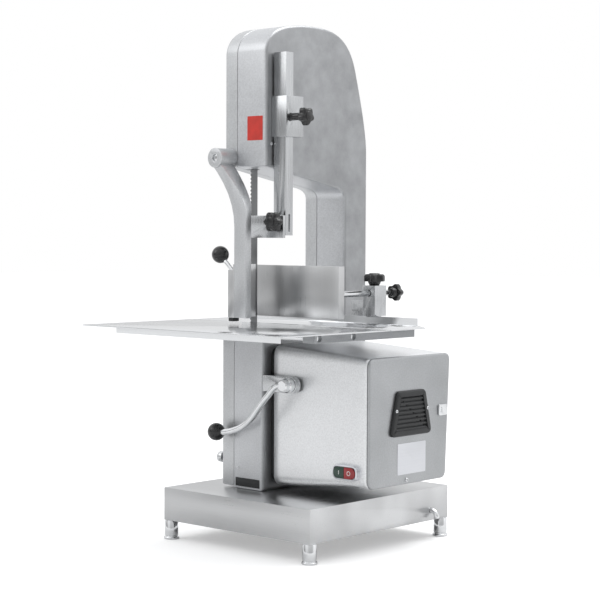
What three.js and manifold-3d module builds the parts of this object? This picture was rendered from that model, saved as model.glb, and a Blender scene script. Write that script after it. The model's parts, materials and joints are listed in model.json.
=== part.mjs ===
// Bone saw: a bench-top band saw for meat and bone, with a sliding table.
// Millimetres, +Z up. The operator stands at -Y; the door is on -X and the motor on +X.
import * as THREE from "three";
import { mergeVertices } from "three/addons/utils/BufferGeometryUtils.js";
import Module from "manifold-3d";

const wasm = await Module();
wasm.setup();

// ---------------------------------------------------------------- driving dimensions

const GAP = 0.3; // between pieces that touch
const RUN = 0.4; // between a shaft and the bore it turns or slides in

// Blade and wheels
const BLADE_LENGTH = 1650;
const BLADE_WIDTH = 16;
const BLADE_THICKNESS = 0.6;
const BAND_GAP = 0.5; // from the wheels' rims to the blade
const WHEEL_RADIUS = 100;
const WHEEL_WIDTH = 18;
const WHEEL_FLANGE = 2.2;
const TOOTH_OVERHANG = 2;
const HUB_RADIUS = 26;
const AXLE_RADIUS = 10;
const BEARING_RADIUS = 20;

// Base pan and feet
const BASE_WIDTH = 321;
const BASE_DEPTH = 342.6;
const BASE_HEIGHT = 53.4;
const BASE_SHEET = 2;
const FOOT_HEIGHT = 31.3;
const FOOT_RADIUS = 11;
const FOOT_PAD_RADIUS = 12.5;
const FOOT_PAD_HEIGHT = 4;
const FOOT_INSET = 8.5;

// C-shaped frame and its door
const WALL = 4;
const DOOR_WALL = 3.5;
const BODY_THICKNESS = 63.5;
const DOOR_THICKNESS = 28;
const SEAM = 0.7;
const SAWDUST_ROOM = 30; // under the lower wheel
const HEAD_ROOM = 19.2; // from the upper wheel to the top of the head
const HEAD_FLOOR = 16.8; // from the upper wheel down to the lip of the throat
const THROAT_RISE = 49; // how much lower the throat's ceiling ends at the column
const FRONT_ROOM = 22.3; // from the blade to the front of the head
const FOOT_STEP = 6; // the lower frame stands this much ahead of the head
const COLUMN_DEPTH = 58;
const COLUMN_SHARE = 28.6; // from the rear run of the blade to the throat
const THROAT_RADIUS = 28;
const DOOR_LOWER_GAP = 3; // under the door
const DOOR_TABLE_ROOM = 15.5; // the door's lower part ends this far below the casting's top
const HINGE_RADIUS = 7;
const HINGE_PIN_RADIUS = 4;
const HINGE_LENGTH = 46;
const HINGE_OFFSET = 8; // hinge axis behind the frame

// Tables
const TABLE_OVER_WHEEL = 40.5; // table top above the lower wheel
const TABLE_SHEET = 2;
const TABLE_LEFT = -204;
const TABLE_RIGHT = 230;
const TABLE_FRONT = -308;
const TABLE_REAR = 57;
const TABLE_CHAMFER = [45, 38]; // cut off the fixed table's rear right corner, along X and Y
const TABLE_LIP = 10;
const TABLE_RIM = 11.5;
const BLADE_SLOT = 4.6; // between the two tables
const INSERT = { length: 30, front: 9, rear: 9, depth: 10 }; // round the blade, between the tables
const RAIL_RADIUS = 5;
const RAIL_DEPTH = 9.8; // rail axis below the table top
const RAIL_SPACING = 78;
const RAIL_FRAME_GAP = 16; // rear rail axis ahead of the frame
const ARM_WIDTH = 24;
const CARRIAGE_WIDTH = 30;
const CARRIAGE_SPACING = 104;

// Motor, its carrier and housing
const MOTOR_RADIUS = 68;
const MOTOR_LENGTH = 150;
const SHAFT_RADIUS = 9.5;
const CARRIER_TRAVEL = 4; // the motor and lower wheel rise this much when the band is slackened
const HOUSING_LENGTH = 206.5;
const HOUSING_WIDTH = 211;
const HOUSING_HEIGHT = 228;
const HOUSING_TAPER_Z = 0.885; // end section over root section
const HOUSING_TAPER_Y = 0.96;
const HOUSING_WALL = 3.5;
const HOUSING_RADIUS = 20;
const HOUSING_SETBACK = 15; // housing front behind the frame front
const COVER_THICKNESS = 5;

// Blade guide
const POST_WIDTH = 26;
const POST_DEPTH = 17;
const POST_LENGTH = 293;
const POST_OFFSET = 3; // post to the frame's side
const CLAMP_HEIGHT = 65;
const CLAMP_DEPTH = 40;
const GUIDE_HEIGHT = 36;

// Thickness fence
const FENCE_LENGTH = 190;
const FENCE_HEIGHT = 84;
const FENCE_SHEET = 2.5;
const FENCE_OFFSET = 25; // behind the blade at rest
const FENCE_ROD_RADIUS = 5;
const FENCE_ROD_LENGTH = 148;

// Pusher
const PUSHER_BOSS_RADIUS = 16;
const PUSHER_BOSS_LENGTH = 36.5;
const PUSHER_PIN_RADIUS = 5.5;
const PUSHER_ARM_WIDTH = 25;
const PUSHER_ARM_DEPTH = 13;
const BALL_RADIUS = 14.5;

// ---------------------------------------------------------------- places worked out from them

const wheelSpan = (BLADE_LENGTH - 2 * Math.PI * WHEEL_RADIUS) / 2;
const baseTop = FOOT_HEIGHT + BASE_HEIGHT;
const frameBottom = baseTop + GAP;
const lowerWheelZ = frameBottom + SAWDUST_ROOM + WHEEL_RADIUS;
const upperWheelZ = lowerWheelZ + wheelSpan;
const wheelY = 33;
const bladeRadius = WHEEL_RADIUS + BAND_GAP;
const bladeY = wheelY - bladeRadius - BLADE_THICKNESS / 2;
const bladeRearY = wheelY + bladeRadius + BLADE_THICKNESS / 2;

const frameRight = -10.9;
const seamX = frameRight - BODY_THICKNESS;
const doorLeft = seamX - DOOR_THICKNESS - SEAM;
const headFront = bladeY - FRONT_ROOM;
const frameFront = headFront - FOOT_STEP;
const columnFront = bladeRearY - COLUMN_SHARE;
const frameRear = columnFront + COLUMN_DEPTH;
const headTop = upperWheelZ + WHEEL_RADIUS + HEAD_ROOM;
const throatTop = upperWheelZ - WHEEL_RADIUS - HEAD_FLOOR;
const tableTop = lowerWheelZ + WHEEL_RADIUS + TABLE_OVER_WHEEL;
const tableUnder = tableTop - TABLE_SHEET;
const castingTop = tableUnder - 0.6;
const wheelX = seamX + 10; // left face of both rims
const bladeLeft = wheelX - TOOTH_OVERHANG;
const bladeRight = bladeLeft + BLADE_WIDTH;

// ---------------------------------------------------------------- looks

const look = (color, roughness, metalness) =>
  new THREE.MeshStandardMaterial({ color, roughness, metalness });
const castAluminium = () => look(0xb9bcbe, 0.42, 0.9);
const stainless = () => look(0xc4c6c8, 0.28, 1);
const polished = () => look(0xd8dadb, 0.1, 1);
const blackPlastic = () => look(0x17181a, 0.35, 0);
const greyPlastic = () => look(0x4a4d50, 0.5, 0);
const whitePlastic = () => look(0xe8e8e4, 0.45, 0);
const greenPlastic = () => look(0x143f2c, 0.35, 0);
const redPlastic = () => look(0xb5231f, 0.35, 0);

// ---------------------------------------------------------------- solids

// A closed geometry as a manifold solid, and back.
function solid(geometry) {
  const bare = geometry.clone();
  bare.deleteAttribute("normal");
  bare.deleteAttribute("uv");
  const merged = mergeVertices(bare, 1e-4);
  return new wasm.Manifold(
    new wasm.Mesh({
      numProp: 3,
      vertProperties: merged.attributes.position.array,
      triVerts: new Uint32Array(merged.index.array),
    }),
  );
}

function geometryOf(body) {
  const mesh = body.getMesh();
  const geometry = new THREE.BufferGeometry();
  geometry.setAttribute("position", new THREE.BufferAttribute(mesh.vertProperties, 3));
  geometry.setIndex(new THREE.BufferAttribute(mesh.triVerts, 1));
  const flat = geometry.toNonIndexed();
  flat.computeVertexNormals();
  return flat;
}

const join = (first, ...rest) => rest.reduce((sum, body) => sum.add(body), first);
const cut = (first, ...rest) => rest.reduce((left, body) => left.subtract(body), first);

// A box between two corners.
function box([x0, y0, z0], [x1, y1, z1]) {
  const geometry = new THREE.BoxGeometry(x1 - x0, y1 - y0, z1 - z0);
  return solid(geometry.translate((x0 + x1) / 2, (y0 + y1) / 2, (z0 + z1) / 2));
}

// A turned solid: profile points are [radius, height] from the bottom of the axis to its top.
const AXIS_TURN = {
  x: (geometry) => geometry.rotateZ(-Math.PI / 2),
  y: (geometry) => geometry,
  z: (geometry) => geometry.rotateX(Math.PI / 2),
};

function turned(axis, profile, [x, y, z] = [0, 0, 0], sides = 20) {
  const points = profile.map(([radius, height]) => new THREE.Vector2(radius, height));
  const geometry = AXIS_TURN[axis](new THREE.LatheGeometry(points, sides));
  return solid(geometry.translate(x, y, z));
}

function cylinder(axis, radius, from, to, centre = [0, 0, 0], sides = 18) {
  const profile = [[0, from], [radius, from], [radius, to], [0, to]];
  return turned(axis, profile, centre, sides);
}

// An outline of [a, b] points, or a Shape, drawn out along an axis:
// x takes (y, z) outlines, y takes (x, z) outlines and z takes (x, y) outlines.
const AXIS_BASIS = {
  x: [new THREE.Vector3(0, 1, 0), new THREE.Vector3(0, 0, 1), new THREE.Vector3(1, 0, 0)],
  y: [new THREE.Vector3(1, 0, 0), new THREE.Vector3(0, 0, 1), new THREE.Vector3(0, -1, 0)],
  z: [new THREE.Vector3(1, 0, 0), new THREE.Vector3(0, 1, 0), new THREE.Vector3(0, 0, 1)],
};

function drawn(axis, outline, from, to, curveSegments = 6) {
  const shape = Array.isArray(outline)
    ? new THREE.Shape(outline.map((p) => (p.isVector2 ? p : new THREE.Vector2(...p))))
    : outline;
  const geometry = new THREE.ExtrudeGeometry(shape, {
    depth: to - from,
    bevelEnabled: false,
    curveSegments,
  });
  geometry.applyMatrix4(new THREE.Matrix4().makeBasis(...AXIS_BASIS[axis]));
  const start = { x: [from, 0, 0], y: [0, to, 0], z: [0, 0, from] }[axis];
  return solid(geometry.translate(...start));
}

function roundedRectangle(a0, b0, a1, b1, radius) {
  const shape = new THREE.Shape();
  shape.moveTo(a0 + radius, b0);
  shape.lineTo(a1 - radius, b0);
  shape.absarc(a1 - radius, b0 + radius, radius, -Math.PI / 2, 0);
  shape.lineTo(a1, b1 - radius);
  shape.absarc(a1 - radius, b1 - radius, radius, 0, Math.PI / 2);
  shape.lineTo(a0 + radius, b1);
  shape.absarc(a0 + radius, b1 - radius, radius, Math.PI / 2, Math.PI);
  shape.lineTo(a0, b0 + radius);
  shape.absarc(a0 + radius, b0 + radius, radius, Math.PI, 1.5 * Math.PI);
  return shape;
}

// A round bar bent along a curve through points, with an optional bore.
function bentBar(points, radius, steps, bore = 0) {
  const curve = new THREE.CatmullRomCurve3(points.map((p) => new THREE.Vector3(...p)));
  const section = new THREE.Shape().absarc(0, 0, radius, 0, 2 * Math.PI);
  if (bore) section.holes.push(new THREE.Path().absarc(0, 0, bore, 0, 2 * Math.PI, true));
  return solid(
    new THREE.ExtrudeGeometry(section, { extrudePath: curve, steps, curveSegments: 4 }),
  );
}

// The outline moved inwards by a distance, vertex by vertex.
function insetOutline(points, distance) {
  return points.map((point, i) => {
    const before = points[(i + points.length - 1) % points.length];
    const after = points[(i + 1) % points.length];
    const inOf = (a, b) => new THREE.Vector2(a.y - b.y, b.x - a.x).normalize();
    const first = inOf(before, point);
    const second = inOf(point, after);
    const middle = first.clone().add(second).normalize();
    return point.clone().addScaledVector(middle, distance / middle.dot(first));
  });
}

// A lobed hand knob: a stem from the origin along +Z, then the star-shaped head.
function starKnob(radius, thickness, stemRadius, stemLength, lobes = 6) {
  const steps = lobes * 4;
  const outline = Array.from({ length: steps }, (_, i) => {
    const angle = (2 * Math.PI * i) / steps;
    const r = radius * (0.89 + 0.11 * Math.cos(lobes * angle));
    return [r * Math.cos(angle), r * Math.sin(angle)];
  });
  const head = drawn("z", outline, stemLength, stemLength + thickness);
  const hub = cylinder("z", radius * 0.55, stemLength - 4, stemLength + thickness + 1.5);
  return join(head, hub, cylinder("z", stemRadius, 0, stemLength + 1, [0, 0, 0], 12));
}

// ---------------------------------------------------------------- scene graph

const machine = new THREE.Group();

function group(position, parent = machine) {
  const made = new THREE.Group();
  made.position.set(...position);
  parent.add(made);
  return made;
}

function piece(name, body, material, parent = machine, position = [0, 0, 0], rotation = [0, 0, 0]) {
  const mesh = new THREE.Mesh(geometryOf(body), material);
  mesh.name = name;
  mesh.position.set(...position);
  mesh.rotation.set(...rotation);
  parent.add(mesh);
  return mesh;
}

// ---------------------------------------------------------------- base

// A folded pan, open underneath, on four tubular feet.
function buildBase() {
  const base = group([0, 0, 0]);
  const x = BASE_WIDTH / 2;
  const y = BASE_DEPTH / 2;
  const hollow = box(
    [-x + BASE_SHEET, -y + BASE_SHEET, FOOT_HEIGHT - 1],
    [x - BASE_SHEET, y - BASE_SHEET, baseTop - BASE_SHEET],
  );
  const drainY = 0.37 * BASE_DEPTH;
  const drainZ = FOOT_HEIGHT + 16;
  const drainRadius = 4.5;
  const drainHole = cylinder("x", drainRadius + GAP, x - 2 * BASE_SHEET, x + 1, [0, drainY, drainZ]);
  const pan = box([-x, -y, FOOT_HEIGHT], [x, y, baseTop]);
  piece("base_pan", cut(pan, hollow, drainHole), stainless(), base);

  // Each foot's stem runs up inside its corner of the pan to the underside of the top.
  const stemRadius = FOOT_INSET - BASE_SHEET - GAP - 0.5;
  const profile = [
    [0, 0],
    [FOOT_PAD_RADIUS, 0],
    [FOOT_PAD_RADIUS, FOOT_PAD_HEIGHT],
    [FOOT_RADIUS, FOOT_PAD_HEIGHT + 1],
    [FOOT_RADIUS, FOOT_HEIGHT - GAP],
    [stemRadius, FOOT_HEIGHT - GAP],
    [stemRadius, baseTop - BASE_SHEET - GAP],
    [0, baseTop - BASE_SHEET - GAP],
  ];
  for (const [end, sideY] of [["front", -1], ["rear", 1]])
    for (const [side, sideX] of [["left", -1], ["right", 1]])
      piece(`foot_${end}_${side}`, turned("z", profile, [0, 0, 0], 14), polished(), base, [
        sideX * (x - FOOT_INSET),
        sideY * (y - FOOT_INSET),
        0,
      ]);

  const spout = bentBar(
    [[-8, 0, 0], [2, 0, 0], [8, 0, -1.5], [11, 0, -6], [11.5, 0, -12]],
    drainRadius,
    6,
    drainRadius - 1.2,
  );
  piece("drain_spout", spout, polished(), base, [x, drainY, drainZ]);
}

// ---------------------------------------------------------------- frame and door

// The side outline of the casing in (y, z), from the bottom front corner round the throat and back.
function casingOutline(bottom, lowerTop) {
  const corner = 9;
  const throatEnd = throatTop - THROAT_RISE;
  const ceilingEnd = throatTop - 0.62 * THROAT_RISE;
  const crown = headTop - upperWheelZ;
  const shape = new THREE.Shape();
  shape.moveTo(frameRear, bottom);
  shape.lineTo(frameRear, headTop - 205);
  shape.bezierCurveTo(
    frameRear, headTop - 172,
    frameRear - 15, headTop - 118,
    frameRear - 29, headTop - 0.6 * crown,
  );
  shape.bezierCurveTo(
    frameRear - 40, headTop - 0.26 * crown,
    frameRear - 64, headTop - 3,
    frameRear - 122, headTop - 1.5,
  );
  shape.quadraticCurveTo(frameRear - 160, headTop, frameRear - 190, headTop - 5);
  shape.quadraticCurveTo(headFront + 6, headTop - 12, headFront, headTop - 50);
  shape.lineTo(headFront, throatTop);
  shape.lineTo(columnFront - THROAT_RADIUS, ceilingEnd);
  shape.quadraticCurveTo(columnFront, ceilingEnd - 4, columnFront, throatEnd);
  shape.lineTo(columnFront, lowerTop + corner);
  shape.quadraticCurveTo(columnFront, lowerTop, columnFront - corner, lowerTop);
  shape.lineTo(frameFront, lowerTop);
  shape.lineTo(frameFront, bottom);
  return shape.extractPoints(5).shape;
}

// Where the hinges stand, by their lower ends.
const hingeX = seamX - SEAM / 2;
const hingeY = frameRear + HINGE_OFFSET;
const hingeHeights = { lower: lowerWheelZ - 60, upper: upperWheelZ - 130 };

function buildFrame() {
  const outer = casingOutline(frameBottom, castingTop);
  const doorOuter = casingOutline(frameBottom + DOOR_LOWER_GAP, castingTop - DOOR_TABLE_ROOM);
  const cavity = drawn("x", insetOutline(doorOuter, WALL), seamX - 1, frameRight - WALL);
  const bladeCut = (z) =>
    box([seamX - 1, bladeY - 3, z - 30], [bladeRight + 4, bladeY + 3, z + 30]);
  const shaftSlot = drawn(
    "x",
    roundedRectangle(
      wheelY - SHAFT_RADIUS - 4,
      lowerWheelZ - SHAFT_RADIUS - 4,
      wheelY + SHAFT_RADIUS + 4,
      lowerWheelZ + CARRIER_TRAVEL + SHAFT_RADIUS + 4,
      SHAFT_RADIUS + 3,
    ),
    frameRight - 2 * WALL,
    frameRight + 1,
  );
  // The pocket in the casting's top for the blade insert, open to the door side.
  const pocket = box(
    [seamX - 1, bladeY - INSERT.front - GAP, castingTop - INSERT.depth - GAP],
    [seamX + INSERT.length + GAP, bladeY + INSERT.rear + GAP, castingTop + 1],
  );
  const body = cut(
    drawn("x", outer, seamX, frameRight),
    cavity,
    bladeCut(throatTop - 4),
    bladeCut(castingTop - 20),
    shaftSlot,
    pocket,
  );
  piece("frame_body", body, castAluminium());

  const door = group([0, 0, 0]);
  const shell = cut(
    drawn("x", doorOuter, doorLeft, seamX - SEAM),
    drawn("x", insetOutline(doorOuter, DOOR_WALL), doorLeft + DOOR_WALL, seamX),
  );
  // Each knuckle hangs on a lug behind the door and turns on the pin below it.
  const knuckles = Object.values(hingeHeights).map((z) => {
    const from = z + HINGE_LENGTH / 2 + GAP;
    const to = z + HINGE_LENGTH;
    const barrel = cylinder("z", HINGE_RADIUS, from, to, [hingeX, hingeY, 0], 16);
    const lug = box(
      [hingeX - 18, frameRear - DOOR_WALL, from],
      [hingeX - SEAM / 2, hingeY, to],
    );
    const bore = cylinder("z", HINGE_PIN_RADIUS + RUN, from - 1, to + 1, [hingeX, hingeY, 0], 16);
    return cut(join(barrel, lug), bore);
  });
  const pinBore = cylinder(
    "y",
    PUSHER_PIN_RADIUS + GAP,
    headFront - 1,
    headFront + DOOR_WALL + 1,
    [pusherX, 0, pusherZ],
  );
  const pusherCut = cut(join(shell, ...knuckles), pinBore);
  piece("door_shell", pusherCut, castAluminium(), door);

  for (const [level, z] of Object.entries(hingeHeights)) {
    const leaf = box([hingeX + 2, frameRear + GAP, 0], [hingeX + 34, frameRear + 4, HINGE_LENGTH]);
    const arm = box([hingeX, frameRear + GAP + 1, 0], [hingeX + 8, hingeY + 2, HINGE_LENGTH / 2]);
    const clear = cylinder(
      "z",
      HINGE_RADIUS + RUN,
      HINGE_LENGTH / 2,
      HINGE_LENGTH + 1,
      [hingeX, hingeY, 0],
    );
    const barrel = cylinder("z", HINGE_RADIUS, 0, HINGE_LENGTH / 2, [hingeX, hingeY, 0], 16);
    const pin = cylinder("z", HINGE_PIN_RADIUS, 0, HINGE_LENGTH + 3, [hingeX, hingeY, 0], 16);
    const hinge = join(cut(join(leaf, arm, barrel), clear), pin);
    piece(`hinge_${level}`, hinge, stainless(), machine, [0, 0, z]);
  }

  const knob = join(
    cylinder("z", 9, 5, 15, [0, 0, 0], 20),
    cylinder("z", 4, 0, 6, [0, 0, 0], 12),
  );
  piece("door_knob", knob, blackPlastic(), door, [doorLeft - GAP, frameFront + 12, frameBottom + 46], [
    0,
    -Math.PI / 2,
    0,
  ]);
}

// The plastic insert that guides the blade through the casting's top.

function buildInsert() {
  const block = box(
    [seamX, bladeY - INSERT.front, castingTop - INSERT.depth],
    [seamX + INSERT.length, bladeY + INSERT.rear, castingTop - GAP],
  );
  const slot = box(
    [seamX - 1, bladeY - 1.2, castingTop - INSERT.depth - 1],
    [bladeRight + 1, bladeY + 1.2, castingTop + 1],
  );
  piece("blade_insert", cut(block, slot), whitePlastic());
}

// ---------------------------------------------------------------- wheels and blade

// A flanged wheel about X, its rim starting at x = 0, with holes between hub and rim.
function wheelBody(bore) {
  const rimInner = WHEEL_RADIUS - 9;
  const flange = WHEEL_RADIUS + WHEEL_FLANGE;
  const flangeStart = BLADE_WIDTH - TOOTH_OVERHANG + 0.5;
  const webFrom = WHEEL_WIDTH / 2 - 3;
  const webTo = WHEEL_WIDTH / 2 + 3;
  const profile = [
    [bore, -4],
    [HUB_RADIUS, -4],
    [HUB_RADIUS, webFrom],
    [rimInner, webFrom],
    [rimInner, 0],
    [WHEEL_RADIUS, 0],
    [WHEEL_RADIUS, flangeStart],
    [flange, flangeStart + 0.8],
    [flange, WHEEL_WIDTH],
    [rimInner, WHEEL_WIDTH],
    [rimInner, webTo],
    [HUB_RADIUS, webTo],
    [HUB_RADIUS, WHEEL_WIDTH + 4],
    [bore, WHEEL_WIDTH + 4],
    [bore, -4],
  ];
  const holes = [0, 1, 2, 3, 4].map((i) => {
    const angle = (2 * Math.PI * i) / 5;
    const reach = (HUB_RADIUS + rimInner) / 2;
    const centre = [0, reach * Math.cos(angle), reach * Math.sin(angle)];
    return cylinder("x", 0.24 * rimInner, webFrom - 1, webTo + 1, centre, 12);
  });
  return cut(turned("x", profile, [0, 0, 0], 32), ...holes);
}

function buildWheels() {
  const upper = group([wheelX, wheelY, upperWheelZ]);
  piece("upper_wheel", wheelBody(BEARING_RADIUS + GAP), castAluminium(), upper);
  const bearing = cut(
    cylinder("x", BEARING_RADIUS, -3, WHEEL_WIDTH + 3),
    cylinder("x", AXLE_RADIUS + RUN, -4, WHEEL_WIDTH + 4),
  );
  piece("upper_bearing", bearing, polished(), upper);
  // A stub axle bolted to the side wall, with a washer and nut outside the wheel.
  const wallX = frameRight - WALL - GAP - wheelX;
  const axle = turned("x", [
    [0, -12],
    [7, -12],
    [7, -7.5],
    [14, -7.5],
    [14, -4.5],
    [AXLE_RADIUS, -4.5],
    [AXLE_RADIUS, WHEEL_WIDTH + 5],
    [15, WHEEL_WIDTH + 5],
    [15, wallX - 6],
    [30, wallX - 6],
    [30, wallX],
    [0, wallX],
  ]);
  piece("upper_axle", axle, stainless(), upper);

  const lower = group([wheelX, wheelY, lowerWheelZ]);
  piece("lower_wheel", wheelBody(SHAFT_RADIUS + GAP), castAluminium(), lower);
  const shaftEnd = frameRight - wheelX + MOTOR_LENGTH - 20;
  const shaft = turned("x", [
    [0, -12],
    [6, -12],
    [6, -8],
    [14, -8],
    [14, -4.5],
    [SHAFT_RADIUS, -4.5],
    [SHAFT_RADIUS, shaftEnd],
    [0, shaftEnd],
  ]);
  piece("motor_shaft", shaft, stainless(), lower);

  // The band runs down the front and up inside the column.
  const track = (radius, kind) => {
    const path = new kind();
    path.absarc(wheelY, upperWheelZ, radius, 0, Math.PI);
    path.absarc(wheelY, lowerWheelZ, radius, Math.PI, 2 * Math.PI);
    path.closePath();
    return path;
  };
  const band = track(bladeRadius + BLADE_THICKNESS, THREE.Shape);
  band.holes.push(track(bladeRadius, THREE.Path));
  piece("saw_blade", drawn("x", band, bladeLeft, bladeRight, 20), polished());
}

// ---------------------------------------------------------------- motor, housing and switch

const housingY = frameFront + HOUSING_SETBACK;
const housingZ = frameBottom + 10;
const housingMid = [housingY + HOUSING_WIDTH / 2, housingZ + HOUSING_HEIGHT / 2];
const housingRoot = frameRight + GAP;
const housingEnd = housingRoot + HOUSING_LENGTH;

// A rounded box along X from the frame. Its front stays flat; the other sides narrow outwards.
function taperedBox(inset, from, to) {
  const halfY = HOUSING_WIDTH / 2 - inset;
  const halfZ = HOUSING_HEIGHT / 2 - inset;
  const shape = roundedRectangle(-halfY, -halfZ, halfY, halfZ, HOUSING_RADIUS - inset);
  const geometry = new THREE.ExtrudeGeometry(shape, {
    depth: to - from,
    bevelEnabled: false,
    curveSegments: 4,
  });
  geometry.applyMatrix4(new THREE.Matrix4().makeBasis(...AXIS_BASIS.x)).translate(from, 0, 0);
  const position = geometry.attributes.position;
  for (let i = 0; i < position.count; i++) {
    const share = position.getX(i) / HOUSING_LENGTH;
    const behindFront = position.getY(i) + HOUSING_WIDTH / 2;
    position.setY(i, behindFront * (1 - share * (1 - HOUSING_TAPER_Y)) + housingY);
    position.setZ(i, position.getZ(i) * (1 - share * (1 - HOUSING_TAPER_Z)) + housingMid[1]);
  }
  return solid(geometry.translate(housingRoot, 0, 0));
}

function buildMotor() {
  const motor = group([frameRight + GAP, wheelY, lowerWheelZ]);
  const plate = cut(
    drawn("x", roundedRectangle(-66, -64, 66, 64, 12), 0, 8),
    cylinder("x", 30, -1, 9),
  );
  piece("motor_plate", plate, castAluminium(), motor);
  const from = 8 + GAP;
  const to = from + MOTOR_LENGTH;
  const outside = turned("x", [
    [0, from - 6],
    [26, from - 6],
    [26, from],
    [MOTOR_RADIUS - 4, from],
    [MOTOR_RADIUS, from + 6],
    [MOTOR_RADIUS, to - 12],
    [MOTOR_RADIUS - 10, to - 2],
    [0, to],
  ]);
  const bore = cylinder("x", SHAFT_RADIUS + RUN, from - 7, MOTOR_LENGTH - 20 + 4);
  piece("motor_body", cut(outside, bore), greyPlastic(), motor);

  const gland = { x: housingRoot + 60, z: housingMid[1] - 70, radius: 8 };
  const glandHole = cylinder(
    "y",
    gland.radius + GAP,
    housingMid[0] + HOUSING_WIDTH / 2 - 14,
    housingMid[0] + HOUSING_WIDTH / 2 + 4,
    [gland.x, 0, gland.z],
  );
  const switchHole = box(
    [switchX - 17, housingY - 1, switchZ - 7],
    [switchX + 17, housingY + 9, switchZ + 7],
  );
  const housing = cut(
    taperedBox(0, 0, HOUSING_LENGTH),
    taperedBox(HOUSING_WALL, -1, HOUSING_LENGTH + 1),
    glandHole,
    switchHole,
  );
  piece("motor_housing", housing, castAluminium());
  const glandBody = turned("y", [
    [0, -16],
    [gland.radius, -16],
    [gland.radius, 4],
    [12, 4],
    [12, 11],
    [8, 20],
    [4, 20],
    [4, -12],
    [0, -12],
  ]);
  piece("cable_gland", glandBody, blackPlastic(), machine, [
    gland.x,
    housingMid[0] + HOUSING_WIDTH / 2,
    gland.z,
  ]);

  const halfY = (HOUSING_WIDTH / 2) * HOUSING_TAPER_Y;
  const cover = group([housingEnd + GAP, housingY + halfY, housingMid[1]]);
  const halfZ = (HOUSING_HEIGHT / 2) * HOUSING_TAPER_Z;
  const ventZ = 11;
  const vent = [
    [-55, ventZ - 35],
    [49, ventZ - 35],
    [32, ventZ + 36],
    [-38, ventZ + 36],
  ];
  const intake = [
    [-38, ventZ - 25],
    [32, ventZ - 25],
    [21, ventZ + 26],
    [-27, ventZ + 26],
  ];
  const latchY = 80;
  const latchZ = 10;
  const panel = cut(
    drawn("x", roundedRectangle(-halfY, -halfZ, halfY, halfZ, HOUSING_RADIUS), 0, COVER_THICKNESS, 5),
    drawn("x", intake, -1, COVER_THICKNESS + 1),
    cylinder("x", 5 + RUN, -1, COVER_THICKNESS + 1, [0, latchY, latchZ]),
  );
  piece("motor_end_cover", panel, castAluminium(), cover);
  const grillePlate = drawn("x", vent, 0, 5);
  const slots = [-20, -10, 0, 10, 20].map((z) =>
    box([-1, -26, ventZ + z - 2.2], [6, 20, ventZ + z + 2.2]),
  );
  piece("vent_grille", cut(grillePlate, ...slots), blackPlastic(), cover, [
    COVER_THICKNESS + GAP,
    0,
    0,
  ]);
  const latch = join(
    box([COVER_THICKNESS + GAP, -11, -9], [COVER_THICKNESS + 3, 11, 9]),
    cylinder("x", 5, -8, COVER_THICKNESS + 1, [0, 0, 0], 20),
  );
  piece("cover_latch", latch, polished(), cover, [0, latchY, latchZ]);
}

// An oval switch on the housing's front with a start and a stop button.
const switchX = housingRoot + 168;
const switchZ = frameBottom + 47;

function buildSwitch() {
  const set = group([switchX, housingY - GAP, switchZ]);
  const travel = 3;
  const bezel = drawn("y", roundedRectangle(-25, -12, 25, 12, 11.5), -8, 0, 5);
  const neck = box([-16, -1, -6], [16, 8, 6]);
  const wells = [-1, 1].map((side) =>
    box([side * 10 - 9.3, -9, -8.3], [side * 10 + 9.3, -8 + travel + 3, 8.3]),
  );
  piece("switch_housing", cut(join(bezel, neck), ...wells), blackPlastic(), set);
  const cap = drawn("y", roundedRectangle(-9, -8, 9, 8, 3), -8 - 1.5, -8 + 2.5, 3);
  piece("start_button", cap, greenPlastic(), set, [-10, 0, 0]);
  piece("stop_button", cap, redPlastic(), set, [10, 0, 0]);
}

// ---------------------------------------------------------------- band tension lever

function buildTensionLever() {
  const pivotX = frameRight + 60;
  const pivotZ = lowerWheelZ + 46;
  const half = 13;
  const boltRadius = 7;
  const set = group([pivotX, frameFront, pivotZ]);
  const bar = drawn("y", roundedRectangle(frameRight + GAP - pivotX, -half, half, half, half - 0.5), 0, 11);
  const square = box([frameRight + GAP - pivotX, 0, -half], [-half, 11, half]);
  const bore = cylinder("y", boltRadius + RUN, -1, 12);
  piece("tension_bracket", cut(join(bar, square), bore), castAluminium(), set);

  // The lever's hub carries a shaft through the bracket; its bar bends down towards the operator.
  const hub = cylinder("y", 11, -20, -GAP - 0.2);
  const shaft = cylinder("y", boltRadius, -2, 12.5);
  const ballCentre = [-(pivotX - pusherX) - 4, -21, -84];
  const bar2 = bentBar(
    [
      [0, -13, 0],
      [-12, -17, -1],
      [-30, -20, -18],
      [-50, -21, -40],
      [-66, -21, -58],
      [-80, -21, -68],
      [-100, -21, -77],
      [ballCentre[0] + 20, -21, ballCentre[2] + 1.2],
      [ballCentre[0] + 6, -21, ballCentre[2]],
    ],
    5,
    14,
  );
  piece("tension_lever", join(hub, shaft, bar2), polished(), set);
  const socket = cut(
    solid(new THREE.SphereGeometry(BALL_RADIUS, 14, 9)),
    cylinder("x", 5 + 2, 3, BALL_RADIUS + 1),
  );
  piece("tension_ball", socket, blackPlastic(), set, ballCentre);
}

// ---------------------------------------------------------------- blade guide

const postX = frameRight + POST_OFFSET;
const postY = headFront + FRONT_ROOM - 6.4;
const postBottom = throatTop - 111;

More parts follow.
